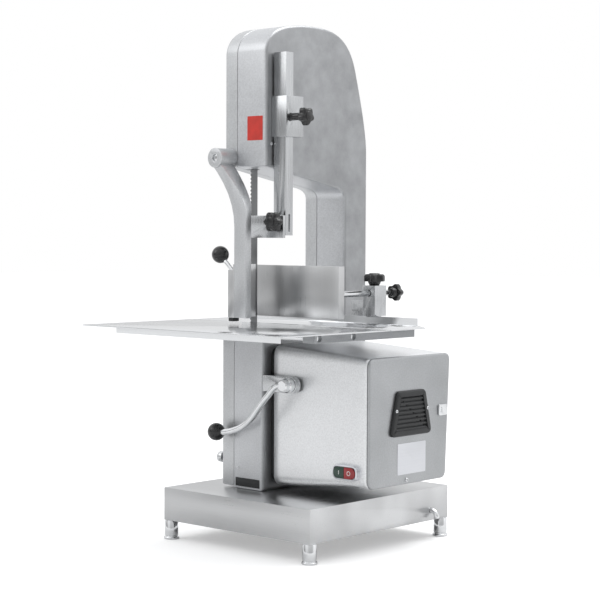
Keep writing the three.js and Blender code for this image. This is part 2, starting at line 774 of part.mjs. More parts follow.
function buildGuide() {
  const clampZ = throatTop + 47;
  const clampBody = box(
    [frameRight + GAP, postY - 3, clampZ],
    [postX + POST_WIDTH + 4, postY - 3 + CLAMP_DEPTH, clampZ + CLAMP_HEIGHT],
  );
  const channel = box(
    [postX - GAP, postY - GAP, clampZ - 1],
    [postX + POST_WIDTH + GAP, postY + POST_DEPTH + GAP, clampZ + CLAMP_HEIGHT + 1],
  );
  const knobY = postY + POST_DEPTH / 2;
  const knobZ = clampZ + CLAMP_HEIGHT / 2;
  const threaded = cylinder(
    "x",
    5 + RUN,
    postX + POST_WIDTH - 1,
    postX + POST_WIDTH + 6,
    [0, knobY, knobZ],
    16,
  );
  piece("guide_clamp", cut(clampBody, channel, threaded), castAluminium());
  piece(
    "post_lock_knob",
    starKnob(15, 10, 5, 30, 5),
    blackPlastic(),
    machine,
    [postX + POST_WIDTH + 2 * GAP, knobY, knobZ],
    [0, Math.PI / 2, 0],
  );

  // The post, with the guide bracket across the front of its lower end.
  const guide = group([postX, postY, postBottom]);
  const slot = box([POST_WIDTH - 5, 7, 6], [POST_WIDTH + 1, 10, GUIDE_HEIGHT - 2]);
  const studX = 16;
  const studZ = GUIDE_HEIGHT * 0.6;
  const stud = cylinder("y", 4 + RUN, -1, 9, [studX, 0, studZ], 16);
  const post = cut(box([0, 0, 0], [POST_WIDTH, POST_DEPTH, POST_LENGTH]), slot, stud);
  piece("guide_post", post, castAluminium(), guide);

  const plateFront = -6;
  const plateLeft = bladeLeft - 6 - postX;
  const rollerRadius = 8;
  const rollerX = bladeRight - postX + 0.4 + rollerRadius;
  const rollerY = bladeY - postY;
  const rollerZ = GUIDE_HEIGHT - 14;
  const plate = box([plateLeft, plateFront, -4], [POST_WIDTH, -GAP, GUIDE_HEIGHT - 4]);
  const studHole = cylinder("y", 4 + RUN, plateFront - 1, 1, [studX, 0, studZ], 16);
  const rollerPin = cylinder("y", 2.5, plateFront + 1, rollerY + 6, [rollerX, 0, rollerZ], 16);
  piece("guide_bracket", join(cut(plate, studHole), rollerPin), castAluminium(), guide);
  const roller = cut(
    cylinder("y", rollerRadius, -4, 4, [0, 0, 0], 24),
    cylinder("y", 2.5 + RUN, -5, 5, [0, 0, 0], 12),
  );
  piece("thrust_roller", roller, polished(), guide, [rollerX, rollerY + 1, rollerZ]);

  // Jaws on both faces of the blade, joined behind its back edge.
  const jawFront = GAP;
  const jawRear = rollerY + 9;
  const jaws = cut(
    box([plateLeft + 4, jawFront, -4], [rollerX + 3, jawRear, rollerZ - rollerRadius - 3]),
    box(
      [plateLeft + 3, rollerY - 0.9, -5],
      [bladeRight - postX + 0.6, rollerY + 0.9, rollerZ],
    ),
  );
  piece("blade_guide", jaws, whitePlastic(), guide);
  piece(
    "guide_knob",
    starKnob(17, 13, 4, 20, 6),
    blackPlastic(),
    guide,
    [studX, 7, studZ],
    [Math.PI / 2, 0, 0],
  );
}

// ---------------------------------------------------------------- tables

function buildTables() {
  const slotFront = bladeY - BLADE_SLOT / 2;
  const slotRear = bladeY + BLADE_SLOT / 2;
  const railY = frameFront - RAIL_FRAME_GAP;
  const railZ = tableTop - RAIL_DEPTH;
  const armDepth = 14.4;
  const armLeft = TABLE_LEFT + 32;
  const armRight = TABLE_RIGHT - 36 - ARM_WIDTH;
  const lowest = tableUnder - GAP - armDepth;

  // Fixed table: a sheet with a rim turned up at the back.
  const [chamferX, chamferY] = TABLE_CHAMFER;
  const outline = [
    [TABLE_LEFT, slotRear],
    [TABLE_RIGHT, slotRear],
    [TABLE_RIGHT, TABLE_REAR - chamferY],
    [TABLE_RIGHT - chamferX, TABLE_REAR],
    [TABLE_LEFT, TABLE_REAR],
  ];
  const fixed = join(
    drawn("z", outline, tableUnder, tableTop),
    box(
      [TABLE_LEFT, TABLE_REAR - TABLE_SHEET, tableUnder],
      [TABLE_RIGHT - chamferX, TABLE_REAR, tableTop + TABLE_RIM],
    ),
  );
  piece("fixed_table", fixed, stainless());

  // Two arms under the fixed table hold the ends of the rails.
  const rails = [["rear", railY], ["front", railY - RAIL_SPACING]];
  const frontEnd = railY - RAIL_SPACING - 10;
  for (const [side, x] of [["left", armLeft], ["right", armRight]]) {
    const bar = box([x, frontEnd, lowest], [x + ARM_WIDTH, TABLE_REAR - 20, tableUnder - GAP]);
    const bores = rails.map(([, y]) =>
      cylinder("x", RAIL_RADIUS + GAP, x - 1, x + ARM_WIDTH + 1, [0, y, railZ], 20),
    );
    piece(`rail_arm_${side}`, cut(bar, ...bores), castAluminium());
  }
  for (const [end, y] of rails) {
    const rod = cylinder("x", RAIL_RADIUS, armLeft + 3, armRight + ARM_WIDTH - 3, [0, y, railZ], 16);
    piece(`rail_${end}`, rod, polished());
  }

  // Sliding table: a sheet with its front edge folded down, on two carriages.
  const sliding = group([0, 0, 0]);
  const sheet = join(
    box([TABLE_LEFT, TABLE_FRONT, tableUnder], [TABLE_RIGHT, slotFront, tableTop]),
    box(
      [TABLE_LEFT + 80, TABLE_FRONT, tableTop - TABLE_LIP],
      [TABLE_RIGHT - 6, TABLE_FRONT + TABLE_SHEET, tableTop],
    ),
  );
  piece("sliding_table", sheet, stainless(), sliding);
  const middle = (armLeft + ARM_WIDTH + armRight) / 2;
  for (const [side, sign] of [["left", -1], ["right", 1]]) {
    const x = middle + (sign * CARRIAGE_SPACING) / 2 - CARRIAGE_WIDTH / 2;
    const block = box(
      [x, frontEnd, lowest + 0.5],
      [x + CARRIAGE_WIDTH, railY + RAIL_RADIUS + 5, tableUnder - GAP],
    );
    const bores = rails.map(([, y]) =>
      cylinder("x", RAIL_RADIUS + RUN, x - 1, x + CARRIAGE_WIDTH + 1, [0, y, railZ], 20),
    );
    piece(`carriage_${side}`, cut(block, ...bores), whitePlastic(), sliding);
  }
}

// ---------------------------------------------------------------- thickness fence

function buildFence() {
  const rodX = 90;
  const rodZ = tableTop + 49;
  const plateY = bladeY + FENCE_OFFSET;
  const plateZ = tableTop + 10;
  const plateRight = rodX + 14;

  const fence = group([0, 0, 0]);
  const sheet = box(
    [plateRight - FENCE_LENGTH, plateY, plateZ],
    [plateRight, plateY + FENCE_SHEET, plateZ + FENCE_HEIGHT],
  );
  const flange = box(
    [plateRight - FENCE_SHEET, plateY, plateZ],
    [plateRight, plateY + 14, plateZ + FENCE_HEIGHT],
  );
  piece("fence_plate", join(sheet, flange), stainless(), fence);
  const rodFrom = plateY + FENCE_SHEET + GAP;
  const rod = join(
    cylinder("y", FENCE_ROD_RADIUS, rodFrom, rodFrom + FENCE_ROD_LENGTH, [rodX, 0, rodZ], 20),
    cylinder("y", 9, rodFrom, rodFrom + 6, [rodX, 0, rodZ], 20),
    cylinder("y", 3, rodFrom + FENCE_ROD_LENGTH - 1, rodFrom + FENCE_ROD_LENGTH + 10, [rodX, 0, rodZ], 16),
  );
  piece("fence_rod", rod, polished(), fence);
  const endKnob = cut(
    join(
      drawn("z", lobes(14.5, 5), 3, 14),
      cylinder("z", 8, 0, 15),
    ),
    cylinder("z", 3 + GAP, -1, 11, [0, 0, 0], 12),
  );
  piece(
    "fence_end_knob",
    endKnob,
    blackPlastic(),
    fence,
    [rodX, rodFrom + FENCE_ROD_LENGTH + GAP, rodZ],
    [-Math.PI / 2, 0, 0],
  );

  // The clamp block stands on the rear rim and is bolted behind it.
  const blockFront = TABLE_REAR - 9;
  const blockRear = TABLE_REAR + 20;
  const blockBottom = tableTop + TABLE_RIM + GAP;
  const blockTop = rodZ + 12.5;
  const lug = box(
    [rodX - 45, TABLE_REAR + GAP, tableTop - 14],
    [rodX + 13, TABLE_REAR + 8, blockBottom + 1],
  );
  const web = box(
    [rodX - 45, TABLE_REAR + GAP, blockBottom],
    [rodX + 13, TABLE_REAR + 8, blockBottom + 25],
  );
  const block = box([rodX - 13, blockFront, blockBottom], [rodX + 13, blockRear, blockTop]);
  const gusset = drawn(
    "y",
    [[rodX - 40, blockBottom + 7], [rodX - 12, blockBottom + 7], [rodX - 12, blockBottom + 24]],
    blockFront + 2,
    blockFront + 8,
  );
  const bore = cylinder("y", FENCE_ROD_RADIUS + RUN, blockFront - 1, blockRear + 1, [rodX, 0, rodZ], 16);
  const thread = cylinder("z", 4 + RUN, rodZ, blockTop + 1, [rodX, (blockFront + blockRear) / 2, 0], 16);
  piece("fence_block", cut(join(lug, web, block, gusset), bore, thread), castAluminium());
  const stemBase = rodZ + FENCE_ROD_RADIUS + 2 * GAP;
  const hubBase = blockTop + GAP - stemBase;
  const lock = join(
    drawn("z", lobes(18, 6), hubBase + 7, hubBase + 19),
    cylinder("z", 9, hubBase, hubBase + 8),
    cylinder("z", 4, 0, hubBase + 1, [0, 0, 0], 12),
  );
  piece("fence_lock_knob", lock, blackPlastic(), machine, [
    rodX,
    (blockFront + blockRear) / 2,
    stemBase,
  ]);
}

// The outline of a lobed knob.
function lobes(radius, count) {
  const steps = count * 4;
  return Array.from({ length: steps }, (_, i) => {
    const angle = (2 * Math.PI * i) / steps;
    const r = radius * (0.89 + 0.11 * Math.cos(count * angle));
    return [r * Math.cos(angle), r * Math.sin(angle)];
  });
}

// ---------------------------------------------------------------- pusher

const pusherX = doorLeft + 13.5;
const pusherZ = throatTop + 14;

function buildPusher() {
  const front = headFront - PUSHER_BOSS_LENGTH - GAP;
  const pusher = group([pusherX, front, pusherZ]);
  const pin = join(
    cylinder("y", PUSHER_PIN_RADIUS, 2, PUSHER_BOSS_LENGTH + DOOR_WALL + 8),
    cylinder("y", 9, PUSHER_BOSS_LENGTH + DOOR_WALL + 2 * GAP, PUSHER_BOSS_LENGTH + DOOR_WALL + 8),
  );
  piece("pusher_shaft", pin, polished(), pusher);

  // The arm leaves the boss in a swept neck and hangs straight down beside the blade.
  const right = bladeRight + 28 - pusherX;
  const left = right - PUSHER_ARM_WIDTH;
  const bottom = tableTop + 10 - pusherZ;
  const shape = new THREE.Shape();
  shape.moveTo(-15, -5);
  shape.quadraticCurveTo(left, -58, left, -112);
  shape.lineTo(left, bottom);
  shape.lineTo(right, bottom);
  shape.lineTo(right, -84);
  shape.quadraticCurveTo(right - 4, -62, 10, -10);
  const armFront = 2.5;
  const neck = drawn("y", shape, armFront, PUSHER_BOSS_LENGTH - 3, 6);
  const behind = drawn(
    "x",
    [
      [PUSHER_BOSS_LENGTH + 10, -14],
      [PUSHER_BOSS_LENGTH - 4, -14],
      [armFront + PUSHER_ARM_DEPTH, -88],
      [armFront + PUSHER_ARM_DEPTH, bottom - 1],
      [PUSHER_BOSS_LENGTH + 10, bottom - 1],
    ].reverse(),
    left - 120,
    right + 10,
  );
  const boss = cylinder("y", PUSHER_BOSS_RADIUS, 0, PUSHER_BOSS_LENGTH, [0, 0, 0], 32);
  const bore = cylinder("y", PUSHER_PIN_RADIUS + RUN, -1, PUSHER_BOSS_LENGTH + 1);
  piece("pusher_arm", cut(join(cut(neck, behind), boss), bore), castAluminium(), pusher);

  // A folded plate beside the arm faces the meat.
  const plateSheet = 2.5;
  const plateWidth = 14;
  const plateBack = bladeY - front - 6;
  const plateTop = bottom + 86;
  const face = left - GAP;
  const plate = join(
    box([face - plateSheet, armFront, bottom], [face, plateBack, plateTop]),
    box([face - plateWidth, armFront, bottom], [face, armFront + plateSheet, plateTop - 9]),
    box([face - plateWidth, plateBack - plateSheet, bottom], [face, plateBack, plateTop - 9]),
  );
  piece("pusher_plate", plate, stainless(), pusher);
  const skid = box([face - plateWidth + 1, armFront + 0.5, bottom - 6], [face - 2, armFront + 14,
    bottom - GAP]);
  piece("pusher_skid", skid, blackPlastic(), pusher);

  // A ball handle stands out from the plate on a short rod.
  const ball = [face - 37, armFront + 6, plateTop + 15];
  const root = [face - plateSheet - GAP - 4, armFront + 6, plateTop - 13];
  const lean = Math.atan2(root[0] - ball[0], ball[2] - root[2]);
  const reach = Math.hypot(ball[0] - root[0], ball[2] - root[2]);
  const rod = cylinder("z", 3.5, 0, reach - 6, [0, 0, 0], 12);
  piece("pusher_rod", rod, polished(), pusher, root, [0, -lean, 0]);
  const knob = cut(
    solid(new THREE.SphereGeometry(BALL_RADIUS - 0.5, 14, 9)),
    cylinder("z", 3.5 + GAP, -BALL_RADIUS - 1, -5, [0, 0, 0], 12),
  );
  piece("pusher_ball", knob, blackPlastic(), pusher, ball, [0, -lean, 0]);
}

buildBase();
buildFrame();
buildInsert();
buildWheels();
buildMotor();
buildSwitch();
buildTensionLever();
buildGuide();
buildTables();
buildFence();
buildPusher();

// The part's origin is the middle of its footprint's box, on the surface it stands on.
const bounds = new THREE.Box3().setFromObject(machine);
machine.position.set(
  -(bounds.min.x + bounds.max.x) / 2,
  -(bounds.min.y + bounds.max.y) / 2,
  -bounds.min.z,
);
const boneSaw = new THREE.Group();
boneSaw.add(machine);

export default boneSaw;
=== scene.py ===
import json
import math

import bmesh
import bpy
from mathutils import Matrix, Vector

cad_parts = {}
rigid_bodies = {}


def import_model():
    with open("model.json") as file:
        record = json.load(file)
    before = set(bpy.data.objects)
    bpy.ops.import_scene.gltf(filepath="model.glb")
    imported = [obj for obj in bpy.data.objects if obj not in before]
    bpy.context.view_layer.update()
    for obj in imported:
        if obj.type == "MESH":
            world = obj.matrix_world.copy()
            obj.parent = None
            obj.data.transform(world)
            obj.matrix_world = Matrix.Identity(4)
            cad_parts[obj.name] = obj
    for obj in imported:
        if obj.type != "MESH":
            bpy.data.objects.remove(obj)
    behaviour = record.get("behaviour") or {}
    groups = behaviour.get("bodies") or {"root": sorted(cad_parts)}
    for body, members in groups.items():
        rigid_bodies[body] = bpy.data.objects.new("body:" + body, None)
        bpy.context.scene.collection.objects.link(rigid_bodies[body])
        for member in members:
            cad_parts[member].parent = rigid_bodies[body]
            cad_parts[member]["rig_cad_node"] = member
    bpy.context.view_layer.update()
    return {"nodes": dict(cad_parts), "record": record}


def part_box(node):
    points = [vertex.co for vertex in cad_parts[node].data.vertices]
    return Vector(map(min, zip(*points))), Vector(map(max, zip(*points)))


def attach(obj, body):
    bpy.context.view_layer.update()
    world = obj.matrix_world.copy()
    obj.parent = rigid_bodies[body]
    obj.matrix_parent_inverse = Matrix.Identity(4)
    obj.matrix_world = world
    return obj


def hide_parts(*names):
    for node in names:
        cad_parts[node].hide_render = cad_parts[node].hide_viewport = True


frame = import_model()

# ---------------------------------------------------------------- sizes, in metres

MM = 0.001

# Camera
CAMERA_PLACE = (1.7801, -1.9310, 0.5026)
CAMERA_AZIMUTH = 42.21  # degrees round from looking along +Y
CAMERA_PITCH = 2.36  # degrees down
CAMERA_ROLL = 0.25  # degrees
CAMERA_LENS = 98.02  # mm on a sensor 36 mm wide

# Casing
CASING_ROUND = 5 * MM
CASING_CORNER = 3 * MM
FRAME_WALL = 4 * MM
DOOR_WALL = 3.5 * MM
DOOR_GAP = 0.7 * MM
FOOT_STEP = 6 * MM
COLUMN_DEPTH = 58 * MM
HEAD_FLOOR = 16.8 * MM
THROAT_RISE = 49 * MM
THROAT_RADIUS = 28 * MM
WHEEL_RADIUS = 100 * MM

# Blade
TOOTH_PITCH = 6.35 * MM
TOOTH_DEPTH = 2.6 * MM

# Knobs
KNOB_EDGE = 0.9 * MM
BALL_NECK = 0.91  # where a ball becomes its neck, as a share of its radius

# Motor housing
# The gap left between the frame and the housing, filled with a black strip as painted shade.
SHADE_STRIP_WIDTH = 10 * MM
HOUSING_CORNER = 18 * MM
COVER_LEAN = 10 * MM

# ---------------------------------------------------------------- places, from the frame

frame_low, frame_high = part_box("frame_body")
door_low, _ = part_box("door_shell")
blade_low, blade_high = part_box("saw_blade")
wheel_low, wheel_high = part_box("upper_wheel")
lower_low, lower_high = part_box("lower_wheel")
table_low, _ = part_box("fixed_table")

head_front = frame_low.y + FOOT_STEP
column_front = frame_high.y - COLUMN_DEPTH
casting_top = table_low.z - 0.6 * MM
upper_wheel_z = (wheel_low.z + wheel_high.z) / 2
lower_wheel_z = (lower_low.z + lower_high.z) / 2
wheel_y = (wheel_low.y + wheel_high.y) / 2
throat_top = upper_wheel_z - WHEEL_RADIUS - HEAD_FLOOR
seam_x = frame_low.x


def middle(node):
    low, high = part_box(node)
    return (low + high) / 2


# ---------------------------------------------------------------- outlines

# Which two coordinates an outline has, and which one runs along the axis.
AXES = {"x": (1, 2, 0), "y": (0, 2, 1), "z": (0, 1, 2)}


def place(axis, a, b, along):
    i, j, k = AXES[axis]
    point = [0.0, 0.0, 0.0]
    point[i], point[j], point[k] = a, b, along
    return Vector(point)


def bezier(points, steps):
    """Points along a Bezier curve, without its start."""
    made = []
    for step in range(1, steps + 1):
        level = [Vector(p) for p in points]
        while len(level) > 1:
            level = [a.lerp(b, step / steps) for a, b in zip(level, level[1:])]
        made.append(level[0])
    return made


def rounded(points, radius, steps=4, sharpest=math.radians(25)):
    """The outline with each sharp corner replaced by a curve."""
    points = [Vector(p) for p in points]
    made = []
    for before, point, after in zip(points[-1:] + points[:-1], points, points[1:] + points[:1]):
        back, ahead = before - point, after - point
        turn = math.pi - back.angle(ahead)
        if turn < sharpest:
            made.append(point)
            continue
        reach = min(radius * math.tan(turn / 2), 0.45 * back.length, 0.45 * ahead.length)
        start = point + back.normalized() * reach
        end = point + ahead.normalized() * reach
        made += [start, *bezier([start, point, end], steps)]
    return made


def inset(points, distance):
    """An anticlockwise outline moved inwards, vertex by vertex."""
    points = [Vector(p) for p in points]
    made = []
    for before, point, after in zip(points[-1:] + points[:-1], points, points[1:] + points[:1]):
        first = Vector((before.y - point.y, point.x - before.x)).normalized()
        second = Vector((point.y - after.y, after.x - point.x)).normalized()
        middle_way = (first + second).normalized()
        made.append(point + middle_way * (distance / middle_way.dot(first)))
    return made


def rectangle(a0, b0, a1, b1):
    return [(a0, b0), (a1, b0), (a1, b1), (a0, b1)]


def around(a, b, half_a, half_b):
    return rectangle(a - half_a, b - half_b, a + half_a, b + half_b)


def circle(radius, sides=40, centre=(0, 0)):
    turns = [2 * math.pi * i / sides for i in range(sides)]
    return [(centre[0] + radius * math.cos(t), centre[1] + radius * math.sin(t)) for t in turns]


# ---------------------------------------------------------------- meshes


def make(name, points, faces):
    mesh = bpy.data.meshes.new(name)
    mesh.from_pydata([tuple(p) for p in points], [], faces)
    tidy_mesh(mesh)
    obj = bpy.data.objects.new(name, mesh)
    bpy.context.scene.collection.objects.link(obj)
    return obj


def tidy_mesh(mesh):
    bm = bmesh.new()
    bm.from_mesh(mesh)
    bmesh.ops.remove_doubles(bm, verts=bm.verts, dist=1e-7)
    bmesh.ops.recalc_face_normals(bm, faces=bm.faces)
    bm.to_mesh(mesh)
    bm.free()


def loft(name, rings, closed=False):
    """Rings with equally many points, joined in order; the two ends are flat unless it closes on itself."""
    count = len(rings[0])
    points = [p for ring in rings for p in ring]
    pairs = list(zip(range(len(rings) - 1), range(1, len(rings))))
    if closed:
        pairs.append((len(rings) - 1, 0))
    faces = []
    for a, b in pairs:
        for i in range(count):
            j = (i + 1) % count
            faces.append((a * count + i, a * count + j, b * count + j, b * count + i))
    if not closed:
        faces.append(tuple(range(count)))
        faces.append(tuple(range(len(points) - count, len(points))))
    return make(name, points, faces)


def drawn(name, axis, outline, low, high):
    return loft(name, [[place(axis, a, b, t) for a, b in outline] for t in (low, high)])


def block(name, low, high):
    return drawn(name, "z", rectangle(low[0], low[1], high[0], high[1]), low[2], high[2])


def turned(name, axis, profile, centre, sides=48, closed=False):
    """A turned solid; profile points are (radius, place along the axis)."""
    rings = [
        [place(axis, a, b, along) + Vector(centre) for a, b in circle(radius, sides)]
        for radius, along in profile
    ]
    return loft(name, rings, closed)


def swept(name, points, radius, resolution=12):
    """A round bar with flat ends along a smooth curve through points."""
    curve = bpy.data.curves.new(name, "CURVE")
    curve.dimensions = "3D"
    spline = curve.splines.new("BEZIER")
    spline.bezier_points.add(len(points) - 1)
    for knot, point in zip(spline.bezier_points, points):
        knot.co = point
        knot.handle_left_type = knot.handle_right_type = "AUTO"
    spline.resolution_u = resolution
    curve.bevel_depth = radius
    curve.bevel_resolution = 6
    curve.use_fill_caps = True
    holder = bpy.data.objects.new(name + "_curve", curve)
    mesh = bpy.data.meshes.new_from_object(holder)
    bpy.data.objects.remove(holder)
    tidy_mesh(mesh)
    obj = bpy.data.objects.new(name, mesh)
    bpy.context.scene.collection.objects.link(obj)
    return obj


def merged(name, *parts):
    """One object from several, which are then gone."""
    bm = bmesh.new()
    for part in parts:
        part.data.transform(part.matrix_world)
        bm.from_mesh(part.data)
        bpy.data.objects.remove(part)
    mesh = bpy.data.meshes.new(name)
    bm.to_mesh(mesh)
    bm.free()
    obj = bpy.data.objects.new(name, mesh)
    bpy.context.scene.collection.objects.link(obj)
    return obj


def cut(obj, *cutters):
    for cutter in cutters:
        modifier = obj.modifiers.new("cut", "BOOLEAN")
        modifier.operation = "DIFFERENCE"
        modifier.solver = "EXACT"
        modifier.object = cutter
    graph = bpy.context.evaluated_depsgraph_get()
    mesh = bpy.data.meshes.new_from_object(obj.evaluated_get(graph))
    obj.modifiers.clear()
    obj.data = mesh
    for cutter in cutters:
        bpy.data.objects.remove(cutter)
    return obj


def turn_to(obj, direction):
    """Turns a piece built along +Z so that it points along a direction."""
    turn = Vector((0, 0, 1)).rotation_difference(Vector(direction)).to_matrix().to_4x4()
    obj.data.transform(turn)
    return obj


def move(obj, offset):
    obj.data.transform(Matrix.Translation(Vector(offset)))
    return obj


# ---------------------------------------------------------------- edges


def smoothing_group():
    """Geometry nodes: faces are smooth, and edges sharper than 35 degrees stay sharp."""
    tree = bpy.data.node_groups.new("smooth_by_angle", "GeometryNodeTree")
    tree.interface.new_socket("Geometry", in_out="INPUT", socket_type="NodeSocketGeometry")
    tree.interface.new_socket("Geometry", in_out="OUTPUT", socket_type="NodeSocketGeometry")
    start = tree.nodes.new("NodeGroupInput")
    end = tree.nodes.new("NodeGroupOutput")
    faces = tree.nodes.new("GeometryNodeSetShadeSmooth")
    faces.domain = "FACE"
    faces.inputs["Shade Smooth"].default_value = True
    edges = tree.nodes.new("GeometryNodeSetShadeSmooth")
    edges.domain = "EDGE"
    angle = tree.nodes.new("GeometryNodeInputMeshEdgeAngle")
    below = tree.nodes.new("FunctionNodeCompare")
    below.data_type = "FLOAT"
    below.operation = "LESS_THAN"
    below.inputs[1].default_value = math.radians(35)
    tree.links.new(start.outputs[0], faces.inputs["Geometry"])
    tree.links.new(faces.outputs[0], edges.inputs["Geometry"])
    tree.links.new(angle.outputs["Unsigned Angle"], below.inputs[0])
    tree.links.new(below.outputs[0], edges.inputs["Shade Smooth"])
    tree.links.new(edges.outputs[0], end.inputs[0])
    return tree


smoothing = smoothing_group()


def soften(obj, width, segments=3):
    """Rounds the sharp edges and smooths the rest. A CAD node's flat facets are joined first."""
    if "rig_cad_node" in obj:
        weld = obj.modifiers.new("weld", "WELD")
        weld.merge_threshold = 2e-6
        flats = obj.modifiers.new("flats", "DECIMATE")
        flats.decimate_type = "DISSOLVE"
        flats.angle_limit = math.radians(0.6)
    if width:
        bevel = obj.modifiers.new("edges", "BEVEL")
        bevel.width = width
        bevel.segments = segments
        bevel.limit_method = "ANGLE"
        bevel.angle_limit = math.radians(32)
        bevel.miter_outer = "MITER_ARC"
        bevel.harden_normals = False
    smooth = obj.modifiers.new("smooth", "NODES")
    smooth.node_group = smoothing
    return obj


# ---------------------------------------------------------------- materials


class Surface:
    """A material built from noise in the part's own coordinates."""

    def __init__(self, name, colour, metallic, roughness):
        self.material = bpy.data.materials.new(name)
        self.material.use_nodes = True
        self.tree = self.material.node_tree
        self.shader = self.tree.nodes["Principled BSDF"]
        self.shader.inputs["Metallic"].default_value = metallic
        self.shader.inputs["Roughness"].default_value = roughness
        self.shader.inputs["Base Color"].default_value = (*colour, 1)
        self.colour = colour
        self.coordinates = self.node("ShaderNodeTexCoord").outputs["Object"]

    def node(self, kind, **settings):
        made = self.tree.nodes.new(kind)
        for key, value in settings.items():
            setattr(made, key, value)
        return made

    def noise(self, scale, stretch=(1, 1, 1), detail=3.0, roughness=0.5):
        mapping = self.node("ShaderNodeMapping")
        mapping.inputs["Scale"].default_value = stretch
        self.tree.links.new(self.coordinates, mapping.inputs["Vector"])
        noise = self.node("ShaderNodeTexNoise")
        noise.inputs["Scale"].default_value = scale
        noise.inputs["Detail"].default_value = detail
        noise.inputs["Roughness"].default_value = roughness
        self.tree.links.new(mapping.outputs[0], noise.inputs["Vector"])
        return noise.outputs["Fac"]

    def ranged(self, value, low, high, start=0.3, end=0.7):
        remap = self.node("ShaderNodeMapRange")
        remap.inputs["From Min"].default_value = start
        remap.inputs["From Max"].default_value = end
        remap.inputs["To Min"].default_value = low
        remap.inputs["To Max"].default_value = high
        self.tree.links.new(value, remap.inputs["Value"])
        return remap.outputs["Result"]

    def mixed(self, factor, dark, light):
        mix = self.node("ShaderNodeMix", data_type="RGBA")
        for socket, value in (("A", dark), ("B", light)):
            slot = [s for s in mix.inputs if s.name == socket and s.type == "RGBA"][0]
            if isinstance(value, tuple):
                slot.default_value = (*value, 1)
            else:
                self.tree.links.new(value, slot)
        self.tree.links.new(factor, mix.inputs[0])
        return [s for s in mix.outputs if s.type == "RGBA"][0]

    def shades(self, factor, darker, lighter):
        """The colour, from darker to lighter times itself."""
        dark = tuple(min(1, c * darker) for c in self.colour)
        light = tuple(min(1, c * lighter) for c in self.colour)
        return self.mixed(factor, dark, light)

    def paint(self, colour):
        self.tree.links.new(colour, self.shader.inputs["Base Color"])
        return self

    def rough(self, value):
        self.tree.links.new(value, self.shader.inputs["Roughness"])
        return self

    def bump(self, height, distance, strength=0.5):
        bump = self.node("ShaderNodeBump")
        bump.inputs["Strength"].default_value = strength
        bump.inputs["Distance"].default_value = distance
        self.tree.links.new(height, bump.inputs["Height"])
        self.tree.links.new(bump.outputs[0], self.shader.inputs["Normal"])
        return self


def cast_metal(name, colour, roughness, mottle=0.08, shaded_side_from=None):
    """Blasted cast aluminium: fine speckle over broad soft clouds and, when a side start is given, painted
    shade that darkens the side at larger x in blotches.
    """
    s = Surface(name, colour, 0.92, roughness)
    clouds = s.noise(9, detail=4)
    speckle = s.noise(420, detail=2, roughness=0.7)
    tone = s.shades(s.ranged(clouds, 0, 1), 1 - mottle, 1 + mottle)
    fine = s.ranged(speckle, 0.86, 1.1, 0.25, 0.75)
    mix = s.node("ShaderNodeMix", data_type="RGBA", blend_type="MULTIPLY")
    mix.inputs[0].default_value = 1
    inputs = [i for i in mix.inputs if i.type == "RGBA"]
    s.tree.links.new(tone, inputs[0])
    s.tree.links.new(fine, inputs[1])
    colour_out = [o for o in mix.outputs if o.type == "RGBA"][0]
    if shaded_side_from is not None:
        # Painted shade: past the given x the colour turns into a darker, blotchy copy of itself.
        split = s.node("ShaderNodeSeparateXYZ")
        s.tree.links.new(s.coordinates, split.inputs[0])
        side = s.ranged(split.outputs["X"], 0, 1, shaded_side_from, shaded_side_from + 2.5 * MM)
        blotches = s.noise(26, detail=5, roughness=0.62)
        painted_side_shade = s.shades(s.ranged(blotches, 0, 1, 0.25, 0.75), 0.52, 0.74)
        colour_out = s.mixed(side, colour_out, painted_side_shade)
    s.paint(colour_out)
    s.rough(s.ranged(speckle, roughness - 0.05, roughness + 0.07))
    s.bump(speckle, 0.12 * MM, 0.35)
    return s.material


def brushed(name, colour, roughness, along, bands=0.0, coarse=3.5):
    """Brushed sheet: fine scratches along one axis, and soft broad bands across it."""
    stretch = [160, 160, 160]
    stretch["xyz".index(along)] = 3
    s = Surface(name, colour, 1, roughness)
    scratches = s.noise(4, tuple(stretch), detail=3, roughness=0.65)
    wide = [1, 1, 1]
    wide["xyz".index(along)] = 0.12
    broad = s.noise(coarse * 4, tuple(wide), detail=1)
    tone = s.shades(s.ranged(broad, 0, 1, 0.35, 0.65), 1 - bands, 1 + bands * 0.6)
    mix = s.node("ShaderNodeMix", data_type="RGBA", blend_type="MULTIPLY")
    mix.inputs[0].default_value = 1
    inputs = [i for i in mix.inputs if i.type == "RGBA"]
    s.tree.links.new(tone, inputs[0])
    s.tree.links.new(s.ranged(scratches, 0.97, 1.02), inputs[1])
    s.paint([o for o in mix.outputs if o.type == "RGBA"][0])
    s.rough(s.ranged(scratches, roughness - 0.03, roughness + 0.05))
    s.bump(scratches, 0.01 * MM, 0.1)
    return s.material


def polished(name, colour, roughness):
    s = Surface(name, colour, 1, roughness)
    haze = s.noise(60, detail=4)
    s.paint(s.shades(s.ranged(haze, 0, 1), 0.94, 1.03))
    s.rough(s.ranged(haze, roughness, roughness + 0.08))
    return s.material


def moulded(name, colour, roughness, coat=0.0):
    s = Surface(name, colour, 0, roughness)
    grain = s.noise(700, detail=2)
    s.paint(s.shades(s.ranged(s.noise(40), 0, 1), 0.85, 1.2))
    s.rough(s.ranged(grain, roughness - 0.04, roughness + 0.08))
    s.bump(grain, 0.04 * MM, 0.25)
    if coat:
        s.shader.inputs["Coat Weight"].default_value = coat
        s.shader.inputs["Coat Roughness"].default_value = 0.08
    return s.material


